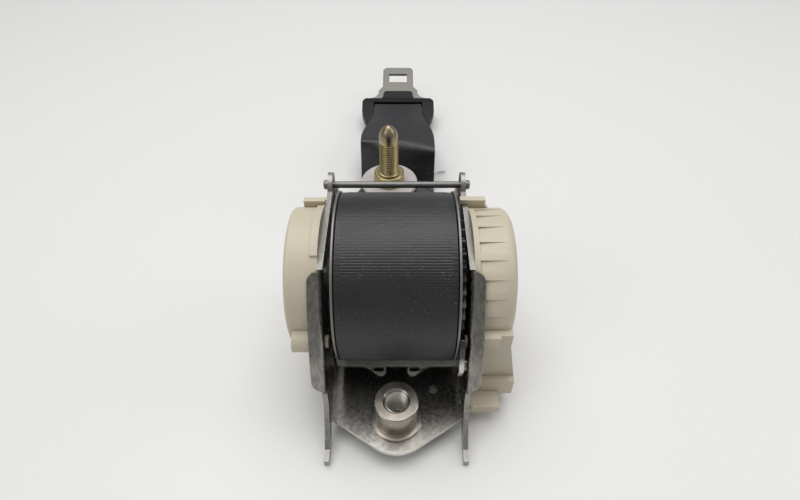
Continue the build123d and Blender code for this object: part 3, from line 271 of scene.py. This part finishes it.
def smooth_by_angle(mesh, angle=35, faces=None):
    """Marks faces smooth, and their edges sharp where they bend by more than the angle."""
    faces = faces or mesh.faces[:]
    for face in faces:
        face.smooth = True
    for edge in {edge for face in faces for edge in face.edges}:
        edge.smooth = len(edge.link_faces) == 2 and edge.calc_face_angle(0) < radians(angle)


def face_away(mesh, centre):
    """Turns the faces of an open surface so that they point away from a centre."""
    mesh.normal_update()
    for face in mesh.faces:
        if (face.calc_center_median() - centre).dot(face.normal) < 0:
            face.normal_flip()


# Roll: the webbing wound on the spool, drawn tight. Its outer turn is a surface of its own, which
# stands proud of the next by one thickness, down to the place where the belt leaves.
ROLL_STEPS = 144
ROLL_COLUMNS = 16
BARREL_RADIUS = 0.015
LEAVES_AT = -pi / 2 + 0.06
roll_low, roll_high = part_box("webbing_roll")
axle = (roll_low + roll_high) / 2
roll_radius = (roll_high.z - roll_low.z) / 2
roll = bmesh.new()
roll_uv = roll.loops.layers.uv.new("weave")
bmesh.ops.create_grid(roll, x_segments=ROLL_COLUMNS, y_segments=ROLL_STEPS, size=0.5)
for face in roll.faces:
    for corner in face.loops:
        flat = corner.vert.co.xy + Vector((0.5, 0.5))
        corner[roll_uv].uv = (flat.x * BELT_WIDTH, flat.y * 2 * pi * roll_radius)
for vert in roll.verts:
    # Sideways runs from -0.5 to 0.5 across the belt, and wound from 0 to 1 round the turn.
    sideways, wound = vert.co.x, vert.co.y + 0.5
    angle = LEAVES_AT + wound * 2 * pi
    worn_edge = 0.006 * max(0.0, abs(sideways) - 0.46)
    radius = roll_radius - BELT_THICK * (1 - wound) - worn_edge
    vert.co = (sideways * BELT_WIDTH, axle.y + radius * cos(angle), axle.z + radius * sin(angle))
smooth_by_angle(roll)
face_away(roll, axle)
new_piece("wound_webbing", roll, "spool_set", "webbing", webbing, replaces=("webbing_roll",))

# Sides of the roll: the edges of its turns, packed one on the other and dull. They end just
# under the outer turn.
UNDER_TURN = 0.0002
SIDE_STEPS = 96
LAYER_DEPTH = 0.0005
turn_edges = Finish("webbing_edges", roughness=0.8)
_, depth, rise = turn_edges.coordinates(shift=-axle).parts()
layers = (depth * depth + rise * rise).maths("SQRT").ripple(BELT_THICK)
turn_edges.set(base_color=turn_edges.mixed(layers, (0.012, 0.013, 0.015), (0.055, 0.060, 0.068)))
turn_edges.relief(layers, LAYER_DEPTH)
side_radius = roll_radius - BELT_THICK - UNDER_TURN
for hand, name in ((-1, "webbing_edges_left"), (1, "webbing_edges_right")):
    side = bmesh.new()
    bmesh.ops.create_circle(side, segments=SIDE_STEPS, radius=side_radius)
    ring = bmesh.ops.extrude_edge_only(side, edges=side.edges[:])["geom"]
    inner = [part for part in ring if isinstance(part, bmesh.types.BMVert)]
    bmesh.ops.scale(side, vec=(BARREL_RADIUS / roll_radius,) * 2 + (1,), verts=inner)
    upright = Matrix.Rotation(hand * pi / 2, 4, "Y")
    beside = Matrix.Translation((hand * BELT_WIDTH / 2, axle.y, axle.z))
    bmesh.ops.transform(side, matrix=beside @ upright, verts=side.verts)
    smooth_by_angle(side)
    face_away(side, axle)
    new_piece(name, side, "spool_set", "webbing", turn_edges)

# Free end of the belt: from the roll along the table, up round the tongue's bar, back over a
# crest, and round the floor anchor's bar, where its end is folded over and sewn down. It is
# drawn in to the tongue's width, and the steep side of the crest is creased by handling.
SEAT_GAP = 0.0003
BAR_HALF = 0.0015
TONGUE_BAR_Y = 0.2364
TONGUE_BAR_Z = 0.0007
TONGUE_FAR = TONGUE_BAR_Y + 0.0121
CREST_Y = 0.176
CREST_Z = 0.022
CREST_FOOT = 0.163
BELT_END = 0.156
layer = BELT_THICK + SEAT_GAP
floor_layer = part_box("belt_strap")[0].z + BELT_THICK / 2
leave_z = roll_low.z - SEAT_GAP - BELT_THICK / 2
frame_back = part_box("webbing_guide")[1].y + 0.001
anchor_low, anchor_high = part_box("anchor_plate")
anchor_bar_y = anchor_low.y + BAR_HALF
anchor_bar_z = (anchor_low.z + anchor_high.z) / 2
bar_loop = BAR_HALF + SEAT_GAP + BELT_THICK / 2
bar_round = 0.9 * bar_loop
belt_corners = (
    (axle.y - 0.005, leave_z),
    (frame_back + 0.0035, leave_z, 0.008),
    (frame_back + 0.020, floor_layer, 0.012),
    (TONGUE_FAR, floor_layer, 0.0066),
    (TONGUE_FAR, TONGUE_BAR_Z + 0.0059, 0.0084),
    (CREST_Y, CREST_Z, 0.006),
    (CREST_FOOT, floor_layer + layer, 0.006),
    (anchor_bar_y - bar_loop, floor_layer + layer, 0.0025),
    (anchor_bar_y - bar_loop, anchor_bar_z + bar_loop, bar_round),
    (anchor_bar_y + bar_loop, anchor_bar_z + bar_loop, bar_round),
    (anchor_bar_y + bar_loop, floor_layer + 2 * layer, 0.002),
    (BELT_END, floor_layer + 2 * layer),
)
CORNER_STEPS = 12
BELT_STEP = 0.0015
BELT_COLUMNS = 28


def rounded_path(corners):
    """Even steps along a path whose corners, given as (y, z, radius), are rounded."""
    points = [Vector(corners[0][:2])]
    for before, (y, z, radius), after in zip(corners, corners[1:], corners[2:]):
        corner = Vector((y, z))
        back = (Vector(before[:2]) - corner).normalized()
        ahead = (Vector(after[:2]) - corner).normalized()
        half = back.angle(ahead) / 2
        centre = corner + (back + ahead).normalized() * (radius / sin(half))
        first = corner + back * (radius * cos(half) / sin(half)) - centre
        turn = pi - 2 * half
        if back.x * ahead.y - back.y * ahead.x > 0:
            turn = -turn
        for step in range(CORNER_STEPS + 1):
            points.append(centre + Matrix.Rotation(turn * step / CORNER_STEPS, 2) @ first)
    points.append(Vector(corners[-1][:2]))
    even = [points[0]]
    left = BELT_STEP
    for start, end in zip(points, points[1:]):
        run = (end - start).length
        at = left
        while at < run:
            even.append(start.lerp(end, at / run))
            at += BELT_STEP
        left = at - run
    return even + [points[-1]]


path = rounded_path(belt_corners)
lengths = [0.0]
for start, end in zip(path, path[1:]):
    lengths.append(lengths[-1] + (end - start).length)
strap = bmesh.new()
strap_uv = strap.loops.layers.uv.new("weave")
bmesh.ops.create_grid(strap, x_segments=BELT_COLUMNS, y_segments=len(path) - 1, size=0.5)


def row_of(vert):
    """The step of the path that a vertex of the flat grid belongs to."""
    return round((vert.co.y + 0.5) * (len(path) - 1))


for face in strap.faces:
    for corner in face.loops:
        flat_x = (corner.vert.co.x + 0.5) * BELT_WIDTH
        corner[strap_uv].uv = (flat_x, lengths[row_of(corner.vert)])

# The steep side of the crest faces the reel. Its left edge curls away from the reel and down,
# and the right half of the crest leans the other way.
NECK_WIDTH = 0.034
NECK_FROM = TONGUE_BAR_Y - 0.052
NECK_TO = TONGUE_BAR_Y - 0.010
CURL = Vector((0.0060, -0.0032))
LEAN = Vector((-0.0070, -0.0012))
LEAN_ROWS = 20
steep_rows = [
    row for row, (y, z) in enumerate(path)
    if CREST_FOOT - 0.003 < y < CREST_Y + 0.002 and z > floor_layer + layer
]
curl_top, curl_end = steep_rows[0], steep_rows[-1]
for vert in strap.verts:
    sideways, row = vert.co.x, row_of(vert)
    drop = min(max((row - curl_top) / (curl_end - curl_top), 0), 1)
    curl = max(0.0, -sideways - 0.24) / 0.26 * (4 * drop * (1 - drop)) ** 0.7
    lean = max(0.0, sideways - 0.05) / 0.45 * max(0.0, 1 - abs(row - curl_top) / LEAN_ROWS) ** 2
    y, z = path[row] + CURL * curl + LEAN * lean
    ease = min(max((y - NECK_FROM) / (NECK_TO - NECK_FROM), 0), 1)
    ease = ease * ease * (3 - 2 * ease)
    width = BELT_WIDTH + (NECK_WIDTH - BELT_WIDTH) * ease
    vert.co = (sideways * width, y, z)
smooth_by_angle(strap, 180)
bmesh.ops.recalc_face_normals(strap, faces=strap.faces)
strap_piece = new_piece("belt_end", strap, "reel", "webbing", webbing, replaces=("belt_strap",))
thick = strap_piece.modifiers.new("thickness", "SOLIDIFY")
thick.thickness = BELT_THICK
thick.offset = 0

# Thread: twisted black and grey polyester. Rows of stitches hold the belt's folded end, and a
# loose loop of it hangs from the belt's right edge.
THREAD_RADIUS = 0.00022
LOOSE_RADIUS = 0.00018
STITCH_ROWS = 7
ROW_PITCH = 0.006
STITCHES = 5
STITCH_PITCH = 0.0042
STITCH_LENGTH = 0.0030
STITCHED_FROM = 0.132
LOOSE_AT = 0.178
thread = Finish("thread", roughness=0.7)
twist = thread.noise(2600, 1, stretch=(1, 1, 4))
thread.set(
    base_color=thread.ramp(twist, (0.35, (0.05, 0.052, 0.056)), (0.65, (0.20, 0.205, 0.21)))
)


def tube(mesh, points, radius):
    """A thin round thread along points, closed at both ends."""
    rings = []
    for before, point, after in zip(points[:1] + points, points, points[1:] + points[-1:]):
        facing = (after - before).to_track_quat("Z", "Y").to_matrix().to_4x4()
        circle = bmesh.ops.create_circle(
            mesh, cap_ends=point in (points[0], points[-1]), segments=6, radius=radius,
            matrix=Matrix.Translation(point) @ facing,
        )
        rings.append({edge for vert in circle["verts"] for edge in vert.link_edges})
    for ring, following in zip(rings, rings[1:]):
        bmesh.ops.bridge_loops(mesh, edges=[*ring, *following])


threads = bmesh.new()
first_stitch = Vector((
    -ROW_PITCH * (STITCH_ROWS - 1) / 2, STITCHED_FROM, floor_layer + 2.5 * layer - 0.0001
))
lift = Vector((0, 0, 0.0002))
for row in range(STITCH_ROWS):
    for stitch in range(STITCHES):
        start = first_stitch + Vector((row * ROW_PITCH, stitch * STITCH_PITCH, 0))
        ahead = Vector((0.0008 * (-1) ** stitch, STITCH_LENGTH, 0))
        raised = [start + ahead * share + lift for share in (0.3, 0.7)]
        tube(threads, [start - lift, *raised, start + ahead - lift], THREAD_RADIUS)
loop_start = Vector((BELT_WIDTH / 2 + 0.0004, LOOSE_AT, floor_layer))
loose = []
for turn in (step * 0.35 for step in range(15)):
    out, along_edge, up = 1 - cos(turn), sin(turn * 0.55), abs(sin(turn))
    loose.append(loop_start + Vector((0.0042 * out, 0.0050 * along_edge, 0.0012 * up)))
tube(threads, loose, LOOSE_RADIUS)
smooth_by_angle(threads, 70)
bmesh.ops.recalc_face_normals(threads, faces=threads.faces)
new_piece("belt_threads", threads, "reel", "webbing", thread)

# Frame: one sheet of zinc-plated steel, punched and folded into a back plate with two cheeks and
# a tab. Its faces are streaked and clouded and its cut edges are torn and bare; its rounded edges
# and the tab's rim carry a bright painted highlight.
SHEET_THICK = 0.0022
TAB_HALF = 0.026
# The width over which edges get a painted highlight.
EDGE_HIGHLIGHT_WIDTH = 0.0006
PLATING_DEPTH = 0.00004
TEAR_DEPTH = 0.00005


def metal(name, streak, roughness):
    """A metal finish with its roughness and relief, and a mottle to colour it by."""
    finish = Finish(name, metallic=1.0)
    streaks = finish.noise(60, 5, 0.65, stretch=streak)
    cloud = finish.noise(38)
    finish.set(roughness=cloud * 0.12 + streaks * 0.10 + (roughness - 0.1))
    finish.relief(streaks * 0.7 + cloud * 0.3, PLATING_DEPTH)
    return finish, streaks * 0.6 + cloud * 0.4


def plated(name, shade, streak, roughness, edge_highlight=1.25, spread=0.12):
    """Metal of one shade that varies by its spread, with a painted highlight on its edges."""
    finish, mottle = metal(name, streak, roughness)
    # Painted highlight: faces near an edge that the Bevel node rounds are made brighter.
    rounded_normal = finish.node("Bevel", {"samples": 4}, {"Radius": EDGE_HIGHLIGHT_WIDTH})
    normal = finish.node("NewGeometry", out="Normal")
    bend = finish.node("VectorMath", {"operation": "DOT_PRODUCT"}, (rounded_normal, normal), out="Value")
    edges = finish.ramp(bend, (0.90, 1.0), (0.995, 0.0))
    base = finish.mixed(
        finish.ramp(mottle, (0.35, 0.0), (0.65, 1.0)),
        toned(shade, 1 - 1.4 * spread),
        toned(shade, 1 + spread),
    )
    return finish.set(base_color=finish.mixed(edges * 0.7, base, toned(shade, edge_highlight)))


def dress(node, finish):
    """Gives a CAD node its finish."""
    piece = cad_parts[node]
    piece.data.materials.clear()
    piece.data.materials.append(finish.material)


def soften(piece, width, angle, segments, material):
    """Rounds a piece's edges, and keeps the shading of its flat faces even."""
    bevel = piece.modifiers.new("round", "BEVEL")
    bevel.width = width
    bevel.segments = segments
    bevel.material = material
    bevel.angle_limit = radians(angle)
    for face in piece.data.polygons:
        face.use_smooth = True
    facing = piece.modifiers.new("facing", "WEIGHTED_NORMAL")
    facing.keep_sharp = True


def rounded(node, body, slot, finishes, width, angle=35, segments=3):
    """A copy of a CAD node with rounded edges, which stands for it; a second finish goes on the
    faces where its sheet was cut, and a third on the rounded edges."""
    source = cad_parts[node]
    mesh = bmesh.new()
    mesh.from_mesh(source.data)
    bmesh.ops.transform(mesh, matrix=source.matrix_world, verts=mesh.verts)
    bmesh.ops.remove_doubles(mesh, verts=mesh.verts, dist=0.000002)
    mesh.normal_update()
    if len(finishes) > 1:
        # Behind a face of the sheet the steel is one thickness deep; behind a cut it is deeper.
        inside = BVHTree.FromBMesh(mesh)
        for face in mesh.faces:
            start = face.calc_center_median() - face.normal * 0.00001
            behind = inside.ray_cast(start, -face.normal)[3]
            face.material_index = int(behind is None or behind > 1.3 * SHEET_THICK)
    bmesh.ops.dissolve_limit(
        mesh, angle_limit=radians(0.3), verts=mesh.verts, edges=mesh.edges, delimit={"MATERIAL"}
    )
    dress(node, finishes[0])
    piece = new_piece(node + "_rounded", mesh, body, slot, *finishes, replaces=(node,))
    soften(piece, width, angle, segments, 2 if len(finishes) > 2 else -1)
    return piece


frame_steel = plated("frame_steel", (0.34, 0.325, 0.30), (9, 9, 0.8), 0.27, spread=0.3)
cut_steel = Finish("cut_steel", metallic=1.0)
tears = cut_steel.noise(1300)
cut_steel.set(
    base_color=cut_steel.ramp(tears, (0.32, (0.27, 0.26, 0.245)), (0.70, (0.50, 0.485, 0.455)))
)
cut_steel.set(roughness=tears * 0.3 + 0.32)
cut_steel.relief(tears, TEAR_DEPTH)
# A near-white steel for the frame's rounded edges and the tab's rim: a painted highlight.
painted_highlight_steel = plated("painted_highlight_steel", (0.80, 0.78, 0.74), (8, 8, 8), 0.5)
painted_highlight_steel.set(metallic=0.5)
sheet = rounded("frame", "reel", "frame_steel", (frame_steel, cut_steel, painted_highlight_steel), 0.00042)
# The tab's cut faces take the painted highlight as well.
for face in sheet.data.polygons:
    x, y, z = face.center
    on_tab = abs(x) < TAB_HALF and y < 0 and 0 < z < SHEET_THICK
    if face.material_index == 1 and on_tab:
        face.material_index = 2

# Turned steel: the spool's shaft, the pawl's pin and the sensor's ball are bright. The tie rod,
# riveted across between the cheeks, is dull.
bright_steel = plated("bright_steel", (0.50, 0.49, 0.47), (30, 3, 3), 0.26)
for node in ("shaft", "pawl_pin", "sensor_ball"):
    dress(node, bright_steel)
dress("tie_rod", plated("rod_steel", (0.24, 0.235, 0.225), (30, 3, 3), 0.45))

# Locking pawl: a thick steel stamping that swings on its pin into the ratchet's teeth. Its lower
# part shows the steel's own bright tone, and its upper part is painted near black as painted
# shade.
PAINTED_SHADE_FROM = 0.0117
PAINTED_SHADE_BY = 0.0158
pawl_steel, mottle = metal("pawl_steel", (30, 3, 3), 0.26)
above_foot = pawl_steel.coordinates().parts()[2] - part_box("lock_pawl")[0].z
steel_tone = pawl_steel.mixed(mottle, (0.55, 0.54, 0.51), (0.70, 0.69, 0.66))
# Painted shade: near black from a height above the pawl's foot upward.
painted_shade = pawl_steel.ramp(above_foot * (1 / PAINTED_SHADE_BY), (PAINTED_SHADE_FROM / PAINTED_SHADE_BY, 0.0), (1.0, 1.0))
pawl_steel.set(base_color=pawl_steel.mixed(painted_shade, steel_tone, (0.09, 0.09, 0.09)))
rounded("lock_pawl", "pawl", "bright_steel", (pawl_steel,), 0.0012, segments=5)

# Ratchet wheel, clock spring and wave washer: the wheel is hardened steel, painted near black all
# over as painted shade, and the other two are blued strip.
dress("ratchet_wheel", plated("painted_shade_steel", (0.07, 0.07, 0.07), (8, 8, 8), 0.45))
strip_steel = plated("strip_steel", (0.34, 0.35, 0.38), (4, 4, 20), 0.32)
for node in ("clock_spring", "wave_washer"):
    dress(node, strip_steel)

# Spool: cast in a grey alloy, with a thin flange at each side of the webbing. It is fixed on the
# shaft and turns with it.
spool_alloy = plated("spool_alloy", (0.28, 0.275, 0.265), (6, 6, 6), 0.5, edge_highlight=1.0)
rounded("spool", "spool_set", "spool_plastic", (spool_alloy,), 0.0003)

# Moulded parts: covers, bases, bushes and snap pins of ivory nylon, a webbing guide and a sensor
# housing of grey plastic, and black working parts. They have a fine grain and faint flow marks,
# and painted shade darkens their hollows.
MOULD_GRAIN = 0.00005
HOLLOW = 0.004


def moulded(name, shade, roughness, shine=0.45):
    """Moulded plastic of one shade, with painted shade in its hollows."""
    finish = Finish(name, specular_ior_level=shine)
    flow = finish.noise(28, 4, stretch=(1, 1, 2.5))
    fine = finish.noise(1800, 2)
    # Painted shade: darker and browner where ambient occlusion finds a hollow.
    open_sky = finish.node("AmbientOcclusion", {"samples": 6}, {"Distance": HOLLOW}, out="AO")
    hollow_shade = finish.ramp(open_sky, (0.25, 1.0), (0.85, 0.0)) * 0.55
    hollow_shade_colour = [part * kept for part, kept in zip(shade, (0.70, 0.66, 0.60))]
    clean = finish.mixed(flow, toned(shade, 0.94), toned(shade, 1.06))
    finish.set(base_color=finish.mixed(hollow_shade, clean, hollow_shade_colour))
    finish.set(roughness=flow * 0.12 + (roughness - 0.06))
    return finish.relief(fine * 0.6 + flow * 0.4, MOULD_GRAIN)


ivory = moulded("ivory_nylon", (0.60, 0.54, 0.42), 0.42)
for node in (
    "spring_base", "left_snap_pins", "right_snap_pins", "left_bush", "right_bush", "sensor_base"
):
    dress(node, ivory)
rounded("spring_cover", "reel", "ivory_nylon", (ivory,), 0.0005)
rounded("sensor_cover", "reel", "ivory_nylon", (ivory,), 0.0004, angle=24)
guide_grey = moulded("guide_grey", (0.72, 0.72, 0.66), 0.45)
dress("sensor_housing", guide_grey)
rounded("webbing_guide", "reel", "guide_plastic", (guide_grey,), 0.0002)
working_black = moulded("working_black", (0.030, 0.030, 0.033), 0.4)
for node in ("lock_gear", "spring_arbor", "sensor_lever"):
    dress(node, working_black)

# Collar: a steel nut turned from bar and plated, pressed through the tab up to its flange. Its
# M10 x 1.25 thread is painted bright, as painted light inside the bore.
SPIN_STEPS = 72
THREAD_COLUMNS = 64
ROWS_PER_PITCH = 10


def turned(mesh, profile, centre):
    """A surface spun about a vertical axis from (radius, height) points."""
    others = set(mesh.verts)
    verts = [mesh.verts.new((centre[0] + radius, centre[1], height)) for radius, height in profile]
    edges = [mesh.edges.new(pair) for pair in zip(verts, verts[1:])]
    bmesh.ops.spin(
        mesh, geom=verts + edges, cent=(*centre, 0), axis=(0, 0, 1), angle=2 * pi,
        steps=SPIN_STEPS, use_merge=True,
    )
    spun = [vert for vert in mesh.verts if vert not in others]
    bmesh.ops.remove_doubles(mesh, verts=spun, dist=0.000001)


def threaded(mesh, crest, depth, pitch, low, high, centre):
    """A thread about a vertical axis; its depth is negative in a nut."""
    grid = bmesh.ops.create_grid(
        mesh, x_segments=THREAD_COLUMNS, y_segments=round((high - low) / pitch * ROWS_PER_PITCH),
        size=0.5,
    )
    for vert in grid["verts"]:
        turn, height = vert.co.x + 0.5, low + (high - low) * (vert.co.y + 0.5)
        flank = abs(2 * ((height / pitch - turn) % 1) - 1)
        radius = crest - depth * min(max((flank - 0.12) / 0.72, 0), 1)
        east, north = radius * cos(2 * pi * turn), radius * sin(2 * pi * turn)
        vert.co = (centre[0] + east, centre[1] + north, height)
    bmesh.ops.remove_doubles(mesh, verts=grid["verts"], dist=0.000001)


BORE = 0.00435
COLLAR_PITCH = 0.00125
COLLAR_DEPTH = 0.0006
FLANGE_TOP = 0.0032
collar_steel = plated("collar_steel", (0.37, 0.335, 0.295), (4, 4, 18), 0.26, spread=0.2)
# A bright finish for the thread: painted light in the bore.
painted_light_thread = plated("painted_light_thread", (0.78, 0.76, 0.72), (6, 6, 6), 0.36)
dress("collar", collar_steel)
collar_low, collar_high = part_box("collar")
flange = (collar_high.x - collar_low.x) / 2
body = flange - 0.0018
spigot = body - 0.002
waist = body - 0.0006
collar_top = collar_high.z
collar = bmesh.new()
threaded(collar, BORE, -COLLAR_DEPTH, COLLAR_PITCH, 0, collar_top - 0.0008, (0, 0))
smooth_by_angle(collar, 50)
for face in collar.faces:
    face.material_index = 1
    if face.calc_center_median().xy.dot(face.normal.xy) > 0:
        face.normal_flip()
turned(
    collar,
    (
        (BORE, 0), (spigot, 0), (spigot, SHEET_THICK),
        (flange - 0.0002, SHEET_THICK), (flange, SHEET_THICK + 0.0002),
        (flange, FLANGE_TOP - 0.0002), (flange - 0.0003, FLANGE_TOP),
        (body - 0.0001, FLANGE_TOP + 0.0001), (waist, FLANGE_TOP + 0.0005),
        (waist, FLANGE_TOP + 0.0011), (body, FLANGE_TOP + 0.0016),
        (body, collar_top - 0.0005), (body - 0.0001, collar_top - 0.0002),
        (body - 0.0005, collar_top), (BORE + 0.0014, collar_top),
        (BORE + 0.0012, collar_top - 0.0001), (BORE + 0.0001, collar_top - 0.0013),
    ),
    (0, 0),
)
outside = [face for face in collar.faces if face.material_index == 0]
smooth_by_angle(collar, 22, outside)
bmesh.ops.recalc_face_normals(collar, faces=outside)
new_piece(
    "threaded_collar", collar, "reel", "collar_steel", collar_steel, painted_light_thread,
    replaces=("collar",),
)

# Latch tongue: a steel blade, stamped with its window and plated, in a grip of black plastic
# moulded round it with soft edges. It is held in the belt's loop.
grip_black = moulded("grip_black", (0.012, 0.012, 0.012), 0.42, shine=0.2)
rounded("tongue_grip", "tongue", "black_plastic", (grip_black,), 0.0012, segments=4)
tongue_steel = plated("tongue_steel", (0.23, 0.222, 0.205), (2, 30, 30), 0.5)
rounded("tongue_blade", "tongue", "tongue_steel", (tongue_steel,), 0.0004)

# Floor anchor: a black steel plate in the belt's other loop. A spacer and a translucent white
# washer that grips the thread hold it on its bolt.
anchor_steel = plated("anchor_steel", (0.10, 0.10, 0.105), (8, 8, 8), 0.5)
rounded("anchor_plate", "anchor", "anchor_steel", (anchor_steel,), 0.0004)
washer_white = moulded("washer_white", (0.54, 0.50, 0.495), 0.35)
washer_white.set(subsurface_weight=0.3, subsurface_radius=(0.004, 0.003, 0.003))
rounded("retaining_washer", "bolt", "white_washer", (washer_white,), 0.0005)

# Anchor bolt: a flanged hexagon bolt of steel in yellow zinc. Its thread, 7/16 inch and 20 turns
# to the inch, has painted shade in its grooves. It runs out in a smooth, greyer, bullet-shaped
# tip.
BOLT_CREST = 0.00555
BOLT_DEPTH = 0.00068
BOLT_PITCH = 0.00127
TIP_LENGTH = 0.0105
TIP_FLAT = 0.0009
TIP_STEPS = 12
HEX_CORNER = 0.01097
HEX_HEIGHT = 0.008
BOLT_FLANGE = 0.012
SHOULDER = 0.0079
NECK = 0.0063
bolt_low, bolt_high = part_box("anchor_bolt")
bolt_at = (bolt_low + bolt_high).xy / 2
spacer_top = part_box("spacer")[1].z
thread_top = bolt_high.z - TIP_LENGTH
yellow_zinc, mottle = metal("yellow_zinc", (6, 6, 14), 0.34)
east, north, up = yellow_zinc.coordinates(shift=(-bolt_at.x, -bolt_at.y, 0)).parts()
from_axis = (east * east + north * north).maths("SQRT")
in_thread = (from_axis - (BOLT_CREST - BOLT_DEPTH)) * (1 / BOLT_DEPTH)
# Painted shade: darker towards the root of each thread groove.
groove_shade = yellow_zinc.ramp(in_thread, (0.0, 1.0), (0.9, 0.0))
on_thread = up.maths("GREATER_THAN", spacer_top) * up.maths("LESS_THAN", thread_top)
tip = yellow_zinc.ramp((up - thread_top) * (1 / TIP_LENGTH), (0.05, 0.0), (0.3, 1.0))
coat = yellow_zinc.mixed(mottle, (0.37, 0.305, 0.155), (0.52, 0.44, 0.24))
groove_shaded = yellow_zinc.mixed(groove_shade * on_thread * 0.85, coat, (0.10, 0.065, 0.025))
yellow_zinc.set(base_color=yellow_zinc.mixed(tip * 0.85, groove_shaded, (0.30, 0.25, 0.18)))
rounded("spacer", "bolt", "yellow_zinc", (yellow_zinc,), 0.0003)
dress("anchor_bolt", yellow_zinc)
hex_top = bolt_low.z + HEX_HEIGHT
flange_top = anchor_low.z - 0.0001
shoulder_top = anchor_high.z + 0.0010
bolt = bmesh.new()
bmesh.ops.create_cone(
    bolt, cap_ends=True, segments=6, radius1=HEX_CORNER, radius2=HEX_CORNER, depth=HEX_HEIGHT,
    matrix=Matrix.Translation((*bolt_at, bolt_low.z + HEX_HEIGHT / 2)),
)
turned(
    bolt,
    (
        (0, hex_top - 0.0001), (BOLT_FLANGE - 0.0003, hex_top - 0.0001),
        (BOLT_FLANGE, hex_top + 0.0002), (BOLT_FLANGE, flange_top - 0.0004),
        (BOLT_FLANGE - 0.0003, flange_top), (SHOULDER, flange_top), (SHOULDER, shoulder_top),
        (NECK, shoulder_top), (NECK, spacer_top + 0.0003),
        (BOLT_CREST - BOLT_DEPTH, spacer_top + 0.0008),
    ),
    bolt_at,
)
threaded(bolt, BOLT_CREST, BOLT_DEPTH, BOLT_PITCH, spacer_top + 0.0003, thread_top, bolt_at)
tip_profile = [(BOLT_CREST - 1.3 * BOLT_DEPTH, thread_top - 0.0004)]
for share in (step / TIP_STEPS for step in range(TIP_STEPS + 1)):
    radius = (BOLT_CREST - 0.3 * BOLT_DEPTH) * (1 - share ** 3) + TIP_FLAT * share
    tip_profile.append((radius, thread_top + TIP_LENGTH * share))
turned(bolt, [*tip_profile, (0, bolt_high.z)], bolt_at)
smooth_by_angle(bolt, 50)
bmesh.ops.recalc_face_normals(bolt, faces=bolt.faces)
new_piece("threaded_bolt", bolt, "bolt", "yellow_zinc", yellow_zinc, replaces=("anchor_bolt",))
